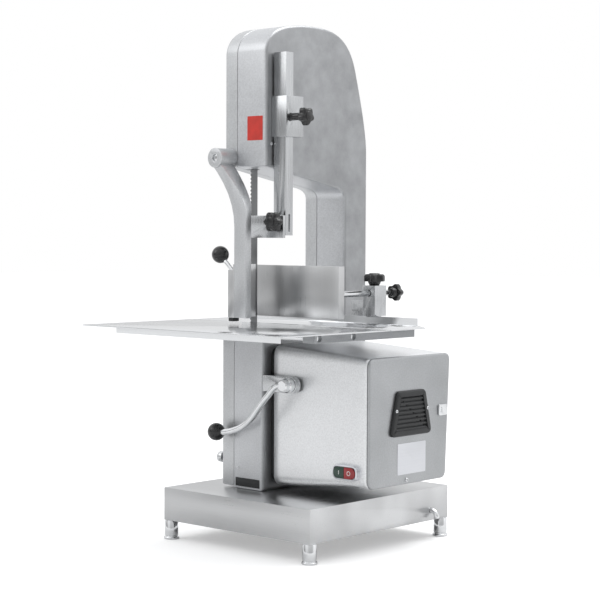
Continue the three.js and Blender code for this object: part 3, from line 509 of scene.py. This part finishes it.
MATERIALS = {
    # The casing's side at larger x carries painted shade.
    "casing": cast_metal("casing_cast", (0.58, 0.59, 0.605), 0.42, shaded_side_from=frame_high.x - 3 * MM),
    "door": cast_metal("door_cast", (0.56, 0.57, 0.58), 0.42),
    "housing_metal": cast_metal("housing_satin", (0.85, 0.86, 0.87), 0.36, mottle=0.03),
    # Painted shade: a darker copy of the housing's satin metal, for the end cover's side face.
    "housing_metal_shaded": cast_metal("housing_satin_shaded", (0.44, 0.45, 0.46), 0.36, mottle=0.1),
    "guide_metal": brushed("guide_machined", (0.54, 0.55, 0.56), 0.24, "z", 0.08),
    "wheel_metal": cast_metal("wheel_cast", (0.55, 0.56, 0.57), 0.4),
    "table_steel": brushed("table_polished", (0.74, 0.75, 0.76), 0.14, "x", 0.06),
    "pan_steel": brushed("pan_brushed", (0.62, 0.625, 0.63), 0.3, "x", 0.14),
    "fence_steel": brushed("fence_brushed", (0.68, 0.685, 0.69), 0.3, "z", 0.3, 2.2),
    "fitting_steel": brushed("fitting_turned", (0.42, 0.43, 0.44), 0.34, "z", 0.05),
    "blade_steel": brushed("blade_dark", (0.27, 0.275, 0.28), 0.32, "z", 0.06),
    "polished_steel": polished("chrome_polished", (0.78, 0.79, 0.80), 0.08),
    "black_knob": moulded("knob_phenolic", (0.005, 0.005, 0.0055), 0.26, coat=0.25),
    "black_plastic": moulded("black_moulded", (0.012, 0.013, 0.014), 0.4),
    "motor_grey": moulded("motor_enamel", (0.16, 0.17, 0.18), 0.45),
    "white_plastic": moulded("white_acetal", (0.72, 0.72, 0.70), 0.42),
    "green_button": moulded("green_cap", (0.012, 0.040, 0.026), 0.3, coat=0.3),
    "red_button": moulded("red_cap", (0.30, 0.018, 0.022), 0.3, coat=0.3),
    "red_label": moulded("red_film", (0.55, 0.03, 0.018), 0.4),
    "plate": brushed("blank_plate", (0.70, 0.71, 0.74), 0.32, "y", 0.04),
    "screw": polished("screw_bright", (0.66, 0.67, 0.68), 0.2),
    "pusher": cast_metal("pusher_cast", (0.58, 0.59, 0.60), 0.4, mottle=0.06),
    "arm": cast_metal("arm_satin", (0.34, 0.35, 0.36), 0.45),
}


def wear(obj, slot, material=None):
    """Gives a piece the material of its record slot, or the named material instead."""
    look = MATERIALS[material or slot]
    obj.data.materials.clear()
    obj.data.materials.append(look)
    return obj


def add(obj, body, slot, bevel=0.0, replaces=(), material=None, segments=3):
    soften(obj, bevel, segments)
    wear(obj, slot, material)
    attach(obj, body)
    if replaces:
        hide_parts(*replaces)
    return obj


# ---------------------------------------------------------------- casing


def casing_outline(bottom, lower_top):
    """The casing's side outline in (y, z): up the back, over the head, round the throat and down."""
    rear, top = frame_high.y, frame_high.z
    crown = top - upper_wheel_z
    ceiling_end = throat_top - 0.62 * THROAT_RISE
    throat_end = throat_top - THROAT_RISE
    corner = 9 * MM
    points = [Vector((rear, bottom)), Vector((rear, top - 205 * MM))]

    def curve(steps, *controls):
        points.extend(bezier([points[-1], *controls], steps))

    curve(
        10,
        (rear, top - 172 * MM),
        (rear - 15 * MM, top - 118 * MM),
        (rear - 29 * MM, top - 0.6 * crown),
    )
    curve(
        14,
        (rear - 40 * MM, top - 0.26 * crown),
        (rear - 64 * MM, top - 3 * MM),
        (rear - 122 * MM, top - 1.5 * MM),
    )
    curve(6, (rear - 160 * MM, top), (rear - 190 * MM, top - 5 * MM))
    curve(12, (head_front + 6 * MM, top - 12 * MM), (head_front, top - 50 * MM))
    points.append(Vector((head_front, throat_top)))
    points.append(Vector((column_front - THROAT_RADIUS, ceiling_end)))
    curve(10, (column_front, ceiling_end - 4 * MM), (column_front, throat_end))
    points.append(Vector((column_front, lower_top + corner)))
    curve(6, (column_front, lower_top), (column_front - corner, lower_top))
    points.append(Vector((frame_low.y, lower_top)))
    points.append(Vector((frame_low.y, bottom)))
    return points


def shell(name, outline, outer, opening, wall):
    """A casting that is open on one side: its face at x = outer, its rim at x = opening."""
    inward = 1 if opening > outer else -1
    rim = 0.5 * MM
    turns = [math.pi / 2 * i / 5 for i in range(6)]
    steps = [
        (outer + inward * CASING_ROUND * (1 - math.cos(t)), CASING_ROUND * (1 - math.sin(t)))
        for t in turns
    ]
    steps += [
        (opening - inward * rim, 0),
        (opening, rim),
        (opening, wall),
        (outer + inward * wall, wall),
    ]
    rings = []
    for x, depth in steps:
        ring = rounded(inset(outline, depth), CASING_CORNER)
        rings.append([place("x", y, z, x) for y, z in ring])
    return loft(name, rings)


def build_casing():
    outline = casing_outline(frame_low.z, casting_top)
    body = shell("frame_casting", outline, frame_high.x, seam_x, FRAME_WALL)
    blade_y = blade_low.y
    cutters = [
        block(
            "blade_way",
            (seam_x - MM, blade_y - 3 * MM, z - 30 * MM),
            (blade_high.x + 4 * MM, blade_y + 3 * MM, z + 30 * MM),
        )
        for z in (throat_top - 4 * MM, casting_top - 20 * MM)
    ]
    insert_low, insert_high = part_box("blade_insert")
    cutters.append(
        block(
            "insert_pocket",
            (seam_x - MM, insert_low.y - 0.3 * MM, insert_low.z - 0.3 * MM),
            (insert_high.x + 0.3 * MM, insert_high.y + 0.3 * MM, casting_top + MM),
        )
    )
    shaft = middle("motor_shaft")
    slot_outline = rounded(
        rectangle(
            shaft.y - 13.5 * MM,
            lower_wheel_z - 13.5 * MM,
            shaft.y + 13.5 * MM,
            lower_wheel_z + 17.5 * MM,
        ),
        12 * MM,
    )
    cutters.append(
        drawn("shaft_slot", "x", slot_outline, frame_high.x - 8 * MM, frame_high.x + MM)
    )
    add(cut(body, *cutters), "frame", "casing", replaces=["frame_body"])

    door_outline = casing_outline(door_low.z, casting_top - 15.5 * MM)
    door = shell("door_casting", door_outline, door_low.x, seam_x - DOOR_GAP, DOOR_WALL)
    pin = middle("pusher_shaft")
    near, deep, bore = head_front - MM, head_front + 9 * MM, 5.8 * MM
    profile = [(0, near), (bore, near), (bore, deep), (0, deep)]
    cut(door, turned("pin_hole", "y", profile, (pin.x, 0, pin.z)))
    knuckles = []
    for node in ("hinge_lower", "hinge_upper"):
        low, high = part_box(node)
        hinge_y = high.y - 7 * MM
        hinge_x = low.x + 7 * MM
        top, foot = high.z - 3.5 * MM, (low.z + high.z - 3 * MM) / 2 + 0.6 * MM
        knuckles.append(
            turned(
                "knuckle",
                "z",
                [(4.4 * MM, foot), (7 * MM, foot), (7 * MM, top), (4.4 * MM, top)],
                (hinge_x, hinge_y, 0),
                closed=True,
            )
        )
        knuckles.append(
            block(
                "lug",
                (hinge_x - 18 * MM, frame_high.y - 2 * MM, foot),
                (hinge_x - 5 * MM, hinge_y + 2 * MM, top),
            )
        )
    add(merged("door_cover", door, *knuckles), "door", "casing", 0, ["door_shell"], "door")


def build_plates():
    """Blank labels and small screws."""
    face = frame_low.y
    name_plate = drawn(
        "name_plate",
        "y",
        rounded(
            rectangle(seam_x + 4 * MM, frame_low.z + 4 * MM, frame_high.x - 6 * MM, frame_low.z + 18 * MM),
            0.8 * MM,
        ),
        face - 0.6 * MM,
        face,
    )
    add(name_plate, "frame", "black_plastic", 0.2 * MM, segments=2)
    label = drawn(
        "red_label",
        "y",
        rounded(
            rectangle(
                frame_high.x - 41 * MM,
                throat_top + 42 * MM,
                frame_high.x - 7 * MM,
                throat_top + 81 * MM,
            ),
            MM,
        ),
        head_front - 0.3 * MM,
        head_front,
    )
    add(label, "frame", "red_button", material="red_label")
    screw("frame_screw", (seam_x + 10 * MM, face, frame_low.z + 34 * MM), (0, -1, 0), 2.2 * MM, "frame")
    screw(
        "head_screw",
        (frame_high.x, head_front + 13 * MM, throat_top + 36 * MM),
        (1, 0, 0),
        2.6 * MM,
        "frame",
    )


def screw(name, where, direction, radius, body, slot="fitting_steel", material="screw"):
    """A low domed screw head with a hexagonal socket."""
    shape = [(0, 0), (1, 0), (1, 0.35), (0.8, 0.62), (0, 0.62)]
    profile = [(radius * r, radius * h) for r, h in shape]
    head = turned(name, "z", profile, (0, 0, 0), 24)
    socket = drawn("socket", "z", circle(0.45 * radius, 6), 0.25 * radius, radius)
    cut(head, socket)
    turn_to(head, direction)
    move(head, where)
    return add(head, body, slot, material=material)


# ---------------------------------------------------------------- blade


def build_blade():
    """The endless band with a tooth every pitch along its left edge."""
    span = upper_wheel_z - lower_wheel_z
    inner = wheel_y - blade_low.y - 0.6 * MM
    length = 2 * span + 2 * math.pi * inner
    teeth = round(length / TOOTH_PITCH)
    rings = []
    for i in range(2 * teeth):
        along = length * i / (2 * teeth)
        tip = i % 2 == 0
        edge = blade_low.x if tip else blade_low.x + TOOTH_DEPTH
        centre, outward = band_point(along, span, inner)
        ring = []
        for depth, x in ((0, edge), (0, blade_high.x), (0.6 * MM, blade_high.x), (0.6 * MM, edge)):
            y, z = centre + outward * depth
            ring.append(place("x", y, z, x))
        rings.append(ring)
    band = loft("toothed_blade", rings, closed=True)
    add(band, "frame", "blade_steel", replaces=["saw_blade"])


def band_point(along, span, radius):
    """A point on the band's inner face and the way out of it, from the bottom of the front run."""
    arc = math.pi * radius
    if along < span:
        return Vector((wheel_y - radius, lower_wheel_z + along)), Vector((-1, 0))
    along -= span
    if along < arc:
        t = math.pi - along / radius
        return ring_point(upper_wheel_z, radius, t)
    along -= arc
    if along < span:
        return Vector((wheel_y + radius, upper_wheel_z - along)), Vector((1, 0))
    return ring_point(lower_wheel_z, radius, -(along - span) / radius)


def ring_point(centre_z, radius, turn):
    outward = Vector((math.cos(turn), math.sin(turn)))
    return Vector((wheel_y, centre_z)) + outward * radius, outward


# ---------------------------------------------------------------- knobs and balls


def star_knob(name, node, axis, sign, radius, lobes, head, stem, stem_radius, body, dark_stem=False):
    """A lobed knob in a node's box: its stem starts at the box's end and its head is outermost."""
    outline = []
    for i in range(lobes * 14):
        t = 2 * math.pi * i / (lobes * 14)
        r = radius * (0.885 + 0.115 * math.cos(lobes * t))
        outline.append((r * math.cos(t), r * math.sin(t)))
    crown = head * 0.3
    rings = []
    for depth, along in ((0, 0), (0, head - crown), (0.35 * crown, head - 0.35 * crown), (crown, head)):
        ring = [(a * (1 - depth / radius), b * (1 - depth / radius)) for a, b in outline]
        rings.append([Vector((a, b, stem + along)) for a, b in ring])
    lobed = loft(name + "_head", rings)
    hub = turned(
        name + "_hub",
        "z",
        [
            (0, stem - 7 * MM),
            (radius * 0.42, stem - 7 * MM),
            (radius * 0.55, stem - 3 * MM),
            (radius * 0.62, stem + 1 * MM),
            (0, stem + 1 * MM),
        ],
        (0, 0, 0),
    )
    cap = turned(
        name + "_cap",
        "z",
        [
            (0, stem + head - MM),
            (radius * 0.5, stem + head - MM),
            (radius * 0.5, stem + head + 0.7 * MM),
            (radius * 0.42, stem + head + 1.4 * MM),
            (0, stem + head + 1.4 * MM),
        ],
        (0, 0, 0),
    )
    knob = merged(name, lobed, hub, cap)
    low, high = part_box(node)
    direction = {"x": Vector((1, 0, 0)), "y": Vector((0, 1, 0)), "z": Vector((0, 0, 1))}[axis] * sign
    k = "xyz".index(axis)
    start = (low + high) / 2
    start[k] = low[k] if sign > 0 else high[k]
    move(turn_to(knob, direction), start)
    add(knob, body, "black_knob", KNOB_EDGE, [node])
    stud = turned(
        name + "_stud",
        "z",
        [(0, 0), (stem_radius, 0), (stem_radius, stem - 6 * MM), (0, stem - 6 * MM)],
        (0, 0, 0),
        24,
    )
    move(turn_to(stud, direction), start)
    add(stud, body, "fitting_steel", 0.3 * MM, material="black_knob" if dark_stem else "screw")
    return start


def ball(name, node, axis_direction, body):
    """A phenolic ball with a short flat-faced neck where its rod enters."""
    low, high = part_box(node)
    radius = max(high - low) / 2
    centre = (low + high) / 2
    profile = [(0, -0.98 * radius), (0.36 * radius, -0.98 * radius), (0.42 * radius, -BALL_NECK * radius)]
    first = math.acos(BALL_NECK)
    for i in range(1, 25):
        t = first + (math.pi - first) * i / 24
        profile.append((radius * math.sin(t), -radius * math.cos(t)))
    made = turned(name, "z", profile, (0, 0, 0), 56)
    move(turn_to(made, axis_direction), centre)
    return add(made, body, "black_knob", replaces=[node])


def build_knobs():
    star_knob(
        "post_knob", "post_lock_knob", "x", 1, 15 * MM, 5, 11.5 * MM, 30 * MM, 6 * MM, "post_knob", True
    )
    where = star_knob(
        "guide_lobed_knob", "guide_knob", "y", -1, 17 * MM, 6, 13 * MM, 20 * MM, 4 * MM, "guide_clamp_knob"
    )
    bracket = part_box("guide_bracket")[0].y
    spring_points = []
    for i in range(8 * 5 + 1):
        t = 2 * math.pi * i / 8
        outward = Vector((math.cos(t), 0, math.sin(t))) * 6 * MM
        coil_y = bracket - MM - 1.1 * MM * i / 8
        spring_points.append(Vector((where.x, coil_y, where.z)) + outward)
    spring = swept("guide_spring", spring_points, 0.6 * MM, 4)
    add(spring, "guide", "polished_steel")
    star_knob(
        "fence_rod_knob", "fence_end_knob", "y", 1, 14.5 * MM, 5, 11 * MM, 3 * MM, 3 * MM, "fence_knob"
    )
    star_knob(
        "fence_clamp_knob", "fence_lock_knob", "z", 1, 18 * MM, 6, 12 * MM, 13.5 * MM, 4 * MM, "fence_lock"
    )
    ball("lever_ball", "tension_ball", (-1, 0, 0), "tension_arm")
    top, root = middle("pusher_ball"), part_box("pusher_rod")
    ball("pusher_handle_ball", "pusher_ball", top - Vector((root[1].x, top.y, root[0].z)), "pusher")


# ---------------------------------------------------------------- tension lever


def build_lever():
    pivot = Vector((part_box("tension_bracket")[1].x - 13 * MM, 0, middle("tension_bracket").z))
    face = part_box("tension_bracket")[0].y
    end = middle("tension_ball")
    offsets = [
        (0, -13, 0),
        (-12, -17, -1),
        (-30, -20, -18),
        (-50, -21, -40),
        (-66, -21, -58),
        (-80, -21, -68),
        (-100, -21, -77),
    ]
    points = [Vector((pivot.x + x * MM, face + y * MM, pivot.z + z * MM)) for x, y, z in offsets]
    points += [Vector((end.x + 20 * MM, end.y, end.z + 1.2 * MM)), Vector((end.x + 6 * MM, end.y, end.z))]
    bar = swept("lever_bar", points, 5 * MM, 10)
    hub = turned(
        "lever_hub",
        "y",
        [
            (0, -20),
            (8, -20),
            (10, -18),
            (10, -11),
            (11.5, -9),
            (11.5, -0.6),
            (7, -0.5),
            (7, 12),
            (0, 12),
        ],
        (0, 0, 0),
    )
    hub.data.transform(Matrix.Scale(MM, 4))
    move(hub, (pivot.x, face, pivot.z))
    add(merged("bent_lever", bar, hub), "tension_arm", "polished_steel", 0, ["tension_lever"])


# ---------------------------------------------------------------- motor housing


def housing_ring(x, share, shrink=0.0):
    """The housing's section at x; share is 0 at the frame and 1 at the end cover."""
    low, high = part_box("motor_housing")
    cover_low, cover_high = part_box("motor_end_cover")
    eased = share * share * (3 - 2 * share)
    front = low.y + shrink
    rear_top = high.y + (cover_high.y - high.y) * share - shrink
    rear_low = rear_top - COVER_LEAN * (0.4 + 0.6 * share)
    bottom = low.z + (cover_low.z - low.z) * eased + shrink
    top = high.z + (cover_high.z - high.z) * share - shrink
    corner = HOUSING_CORNER - 6 * MM * share
    outline = rounded(
        [(front, bottom), (rear_low, bottom), (rear_top, top), (front, top)], corner, 8
    )
    return [place("x", y, z, x) for y, z in outline]


def build_housing():
    low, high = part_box("motor_housing")
    start = low.x + SHADE_STRIP_WIDTH
    length = high.x - low.x
    places = [(start, 2.2 * MM), (start + 0.8 * MM, 0.8 * MM), (start + 2.2 * MM, 0)]
    places += [(start + (high.x - 6 * MM - start) * i / 12, 0) for i in range(1, 13)]
    places += [(high.x - 2.6 * MM, 0.7 * MM), (high.x - 0.9 * MM, 2.2 * MM), (high.x, 4.2 * MM)]
    body = loft(
        "housing_body", [housing_ring(x, (x - low.x) / length, shrink) for x, shrink in places]
    )
    add(body, "frame", "housing_metal", replaces=["motor_housing"])
    # Painted shade: a black strip sunk into the gap between the frame and the housing stands in for the
    # shade there.
    shade_strip_end = start + MM
    shade_strip = loft(
        "housing_shade_strip",
        [housing_ring(x, (x - low.x) / length, 5 * MM) for x in (low.x, shade_strip_end)],
    )
    add(shade_strip, "frame", "black_plastic", 0.5 * MM)

    cover_low, cover_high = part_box("motor_end_cover")
    depth = cover_high.x - cover_low.x
    steps = [(0, 0.8), (0.12, 0), (0.5, 0), (0.78, 0.5), (0.94, 1.5), (1, 3)]
    cover = loft(
        "end_cover",
        [housing_ring(cover_low.x + depth * share, 1, inward * MM) for share, inward in steps],
    )
    # Painted shade: the end cover wears the darker copy of the housing's metal.
    add(cover, "frame", "housing_metal", replaces=["motor_end_cover"], material="housing_metal_shaded")

    seal_places = (high.x - 2.4 * MM, cover_low.x + 0.3 * MM)
    seal = loft("cover_seal", [housing_ring(x, 1, 1.6 * MM) for x in seal_places])
    add(seal, "frame", "black_plastic")
    plate = drawn(
        "blank_rating_plate",
        "x",
        rounded(
            around(cover_low.y + 103.5 * MM, cover_low.z + 40.5 * MM, 35.5 * MM, 24.5 * MM), 1.5 * MM
        ),
        cover_high.x,
        cover_high.x + 0.5 * MM,
    )
    add(plate, "frame", "fence_steel", 0.15 * MM, material="plate", segments=2)
    screw(
        "cover_screw",
        (cover_high.x, cover_low.y + 91 * MM, cover_low.z + 7 * MM),
        (1, 0, 0),
        3.2 * MM,
        "frame",
    )
    build_vent()
    build_latch()


def build_vent():
    """A moulded grille: a trapezoid frame with sloping louvres in a sunken field."""
    low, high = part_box("vent_grille")
    width = high.y - low.y
    height = high.z - low.z
    lean = 0.163 * width
    outer = [
        (low.y, low.z),
        (high.y, low.z),
        (high.y - lean, high.z),
        (low.y + lean, high.z),
    ]
    depth = high.x - low.x
    outline = rounded(outer, 9 * MM, 6)
    rings = []
    for share, inward in ((0, 0), (0.55, 0), (0.85, 1), (1, 2.6), (1, 9), (0.45, 9.5), (0.4, 9.5)):
        ring = inset(outline, inward * MM)
        rings.append([place("x", y, z, low.x + depth * share) for y, z in ring])
    plate = loft("vent_frame", rings)
    slats = []
    count = 8
    for i in range(count):
        z = low.z + 11 * MM + (height - 24 * MM) * i / (count - 1)
        share = (z - low.z) / height
        y0 = low.y + lean * share + 10.5 * MM
        y1 = high.y - lean * share - 10.5 * MM
        inner_x, outer_x = low.x + 0.35 * depth, low.x + 0.93 * depth
        wedge = [
            (inner_x, z + 3.2 * MM),
            (inner_x, z + 2.0 * MM),
            (outer_x, z - 1.6 * MM),
            (outer_x, z - 0.2 * MM),
        ]
        slats.append(drawn("slat", "y", wedge, y0, y1))
    add(merged("vent_louvres", plate, *slats), "frame", "black_plastic", 0, ["vent_grille"])
    for side, y in (("front", low.y + 13 * MM), ("rear", high.y - 13 * MM)):
        screw(
            f"vent_screw_{side}",
            (low.x + 0.95 * depth, y, low.z + 0.57 * height),
            (1, 0, 0),
            2.6 * MM,
            "frame",
        )


def build_latch():
    """A bright latch plate with a dark keyhole, on its own turning axis."""
    low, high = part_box("cover_latch")
    centre = (low + high) / 2
    plate_x = high.x - 2.7 * MM
    plate = drawn(
        "latch_plate",
        "x",
        rounded(around(centre.y, centre.z, 10.5 * MM, 8.8 * MM), 3 * MM),
        plate_x,
        high.x,
    )
    spindle = turned(
        "spindle",
        "x",
        [(0, low.x), (5 * MM, low.x), (5 * MM, plate_x + MM), (0, plate_x + MM)],
        (0, centre.y, centre.z),
    )
    keyhole = drawn(
        "keyhole",
        "x",
        rounded(around(centre.y - 5.2 * MM, centre.z, 2.8 * MM, 5 * MM), 2 * MM),
        high.x - 1.8 * MM,
        high.x + MM,
    )
    cut(plate, keyhole)
    add(merged("latch_body", plate, spindle), "latch", "polished_steel", 0.6 * MM, ["cover_latch"])


# ---------------------------------------------------------------- switch


def half_oval(centre_x, centre_z, side, width, height, gap):
    """Half of a stadium outline in (x, z), rounded on its outer side."""
    radius = height / 2
    straight = width / 2 - radius
    arc = [(-math.pi / 2 + math.pi * i / 14) for i in range(15)]
    points = [(gap, -radius)]
    points += [(straight + radius * math.cos(t), radius * math.sin(t)) for t in arc]
    points += [(gap, radius)]
    made = [(centre_x + side * a, centre_z + b) for a, b in points]
    return made if side > 0 else made[::-1]


def build_switch():
    low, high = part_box("switch_housing")
    centre = (low + high) / 2
    front = low.y
    width, height = high.x - low.x, 24 * MM
    z = centre.z
    bezel_outline = rounded(
        rectangle(low.x, z - height / 2, high.x, z + height / 2), height / 2 - 0.2 * MM, 12
    )
    housing_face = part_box("motor_housing")[0].y
    rings = []
    steps = [(housing_face, 0), (front + 2 * MM, 0), (front + 0.6 * MM, 0.7)]
    steps += [(front, 2), (front, 2.6), (front + 6 * MM, 2.7)]
    for y, inward in steps:
        rings.append([place("y", a, b, y) for a, b in inset(bezel_outline, inward * MM)])
    bezel = loft("switch_bezel", rings)
    add(bezel, "frame", "black_plastic", 0, ["switch_housing"], "plate")
    for name, node, side, slot in (
        ("start_cap", "start_button", -1, "green_button"),
        ("stop_cap", "stop_button", 1, "red_button"),
    ):
        node_low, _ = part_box(node)
        outline = half_oval(centre.x, z, side, width - 6.4 * MM, height - 6.4 * MM, 0.3 * MM)
        cap = drawn(name, "y", outline, node_low.y, front + 1.4 * MM)
        add(cap, node.split("_")[0], slot, 0.5 * MM, [node])
    stop_low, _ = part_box("stop_button")
    ring = turned(
        "stop_ring_mark",
        "y",
        [(2.6 * MM, -0.15 * MM), (3.6 * MM, -0.15 * MM), (3.6 * MM, 0.1 * MM), (2.6 * MM, 0.1 * MM)],
        (centre.x + 10 * MM, stop_low.y, z),
        closed=True,
    )
    add(ring, "stop", "white_plastic")
    bar = drawn(
        "start_bar_mark",
        "y",
        rectangle(centre.x - 10.6 * MM, z - 3 * MM, centre.x - 9.6 * MM, z + 3 * MM),
        stop_low.y - 0.15 * MM,
        stop_low.y + 0.1 * MM,
    )
    add(bar, "start", "white_plastic")


# ---------------------------------------------------------------- base


def build_base():
    for end in ("front", "rear"):
        for side in ("left", "right"):
            node = f"foot_{end}_{side}"
            low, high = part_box(node)
            centre = (low + high) / 2
            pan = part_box("base_pan")[0].z
            profile = [
                (0, 0),
                (12.0, 0),
                (12.5, 0.6),
                (12.5, 3.2),
                (11.8, 4.0),
                (10.2, 4.4),
                (10.2, 6),
                (11, 6.6),
                (11, pan / MM - 2.2),
                (10.4, pan / MM - 1.2),
                (10.4, pan / MM),
                (0, pan / MM),
            ]
            foot = turned(
                node + "_leg",
                "z",
                [(r * MM, h * MM) for r, h in profile],
                (centre.x, centre.y, 0),
                40,
            )
            add(foot, "frame", "polished_steel", 0.3 * MM, [node])


# ---------------------------------------------------------------- CAD nodes that show

NODE_BEVELS = {
    "base_pan": 1.2,
    "door_knob": 1.0,
    "hinge_lower": 0.4,
    "hinge_upper": 0.4,
    "tension_bracket": 1.0,
    "guide_clamp": 0.8,
    "guide_post": 0.7,
    "guide_bracket": 0.5,
    "blade_guide": 0.4,
    "blade_insert": 0.3,
    "fixed_table": 0.4,
    "sliding_table": 0.4,
    "fence_plate": 0.4,
    "fence_block": 0.9,
    "fence_rod": 0.5,
    "rail_arm_left": 1.0,
    "rail_arm_right": 1.0,
    "carriage_left": 1.0,
    "carriage_right": 1.0,
    "pusher_arm": 1.6,
    "pusher_plate": 0.5,
    "pusher_skid": 0.8,
    "pusher_shaft": 0.5,
    "cable_gland": 0.8,
    "upper_wheel": 0.6,
    "lower_wheel": 0.6,
    "motor_plate": 1.0,
    "motor_body": 1.0,
}


# Nodes that look other than their slot's usual material.
NODE_LOOKS = {
    "rail_arm_left": "arm",
    "rail_arm_right": "arm",
    "pusher_arm": "pusher",
    "door_knob": "screw",
}


def dress_nodes():
    slots = {row["node"]: row["material_slot"] for row in frame["record"]["subparts"]}
    for name, obj in frame["nodes"].items():
        if obj.hide_render:
            continue
        look = MATERIALS[NODE_LOOKS.get(name, slots[name])]
        for material_slot in obj.material_slots:
            material_slot.material = look
        soften(obj, NODE_BEVELS.get(name, 0.3) * MM, 2)


# ---------------------------------------------------------------- studio


def build_studio():
    floor = block("floor", (-14, -14, -0.02), (14, 14, 0))
    floor.data.materials.append(floor_material())

    build_world()
    lamp("key", (-1.9, -2.2, 2.3), (0.0, 0.0, 0.45), 1.5, 11)
    lamp("top", (0.5, 0.9, 2.6), (0.0, 0.05, 0.5), 1.6, 24)


# How bright the studio is in each direction: a direction, the cosines between which it changes,
# and the brightness before and after them. The values are multiplied together.
STUDIO_LIGHT = [
    ((0.0, 0.0, 1.0), (-0.6, 0.8), (0.55, 1.1)),
    ((0.67, 0.74, 0.0), (0.72, 0.94), (1.0, 1.3)),
    ((-0.67, -0.74, 0.0), (0.93, 0.985), (1.0, 0.5)),
    ((0.85, -0.5, 0.15), (0.6, 0.95), (1.0, 0.7)),
]


def build_world():
    world = bpy.data.worlds.new("studio")
    bpy.context.scene.world = world
    world.use_nodes = True
    tree = world.node_tree
    tree.nodes.clear()
    out = tree.nodes.new("ShaderNodeOutputWorld")
    mix = tree.nodes.new("ShaderNodeMixShader")
    seen = tree.nodes.new("ShaderNodeBackground")
    seen.inputs["Color"].default_value = (1, 1, 1, 1)
    lit = tree.nodes.new("ShaderNodeBackground")
    lit.inputs["Color"].default_value = (0.985, 0.99, 1, 1)
    path = tree.nodes.new("ShaderNodeLightPath")
    direction = tree.nodes.new("ShaderNodeTexCoord").outputs["Generated"]
    strength = None
    for toward, (start, end), (before, after) in STUDIO_LIGHT:
        part = light_towards(tree, direction, toward, start, end, before, after)
        if strength is not None:
            product = tree.nodes.new("ShaderNodeMath")
            product.operation = "MULTIPLY"
            tree.links.new(strength, product.inputs[0])
            tree.links.new(part, product.inputs[1])
            part = product.outputs[0]
        strength = part
    tree.links.new(strength, lit.inputs["Strength"])
    tree.links.new(path.outputs["Is Camera Ray"], mix.inputs["Fac"])
    tree.links.new(lit.outputs[0], mix.inputs[1])
    tree.links.new(seen.outputs[0], mix.inputs[2])
    tree.links.new(mix.outputs[0], out.inputs["Surface"])


def light_towards(tree, direction, toward, start, end, before, after):
    dot = tree.nodes.new("ShaderNodeVectorMath")
    dot.operation = "DOT_PRODUCT"
    dot.inputs[1].default_value = Vector(toward).normalized()
    tree.links.new(direction, dot.inputs[0])
    spread = tree.nodes.new("ShaderNodeMapRange")
    spread.interpolation_type = "SMOOTHSTEP"
    spread.inputs["From Min"].default_value = start
    spread.inputs["From Max"].default_value = end
    spread.inputs["To Min"].default_value = before
    spread.inputs["To Max"].default_value = after
    tree.links.new(dot.outputs["Value"], spread.inputs["Value"])
    return spread.outputs["Result"]


def lamp(name, where, target, size, power):
    light = bpy.data.lights.new(name, "AREA")
    light.shape = "SQUARE"
    light.size = size
    light.energy = power
    obj = bpy.data.objects.new(name, light)
    obj.location = where
    obj.rotation_euler = (Vector(target) - Vector(where)).to_track_quat("-Z", "Y").to_euler()
    bpy.context.scene.collection.objects.link(obj)


def floor_material():
    """A pale floor that shows white to the camera and keeps the object's shadow."""
    s = Surface("studio_floor", (0.82, 0.82, 0.82), 0, 0.9)
    s.shader.inputs["Specular IOR Level"].default_value = 0.0
    path = s.node("ShaderNodeLightPath")
    glow = s.node("ShaderNodeEmission")
    glow.inputs["Strength"].default_value = 0.34
    add_up = s.node("ShaderNodeAddShader")
    mix = s.node("ShaderNodeMixShader")
    out = s.tree.nodes["Material Output"]
    s.tree.links.new(s.shader.outputs[0], add_up.inputs[0])
    s.tree.links.new(glow.outputs[0], add_up.inputs[1])
    s.tree.links.new(path.outputs["Is Camera Ray"], mix.inputs[0])
    s.tree.links.new(s.shader.outputs[0], mix.inputs[1])
    s.tree.links.new(add_up.outputs[0], mix.inputs[2])
    s.tree.links.new(mix.outputs[0], out.inputs["Surface"])
    return s.material


def build_camera():
    turn, pitch, roll = (math.radians(v) for v in (CAMERA_AZIMUTH, CAMERA_PITCH, CAMERA_ROLL))
    ahead = Vector(
        (-math.sin(turn) * math.cos(pitch), math.cos(turn) * math.cos(pitch), -math.sin(pitch))
    )
    level = Vector((math.cos(turn), math.sin(turn), 0))
    upright = level.cross(ahead)
    right = level * math.cos(roll) + upright * math.sin(roll)
    up = upright * math.cos(roll) - level * math.sin(roll)
    camera = bpy.data.cameras.new("camera")
    camera.lens = CAMERA_LENS
    camera.sensor_width = 36
    obj = bpy.data.objects.new("camera", camera)
    obj.matrix_world = Matrix.Translation(CAMERA_PLACE) @ Matrix((right, up, -ahead)).transposed().to_4x4()
    bpy.context.scene.collection.objects.link(obj)
    bpy.context.scene.camera = obj
    bpy.context.scene.view_settings.view_transform = "Standard"


build_camera()
build_casing()
build_plates()
build_blade()
build_knobs()
build_lever()
build_housing()
build_switch()
build_base()
dress_nodes()
build_studio()
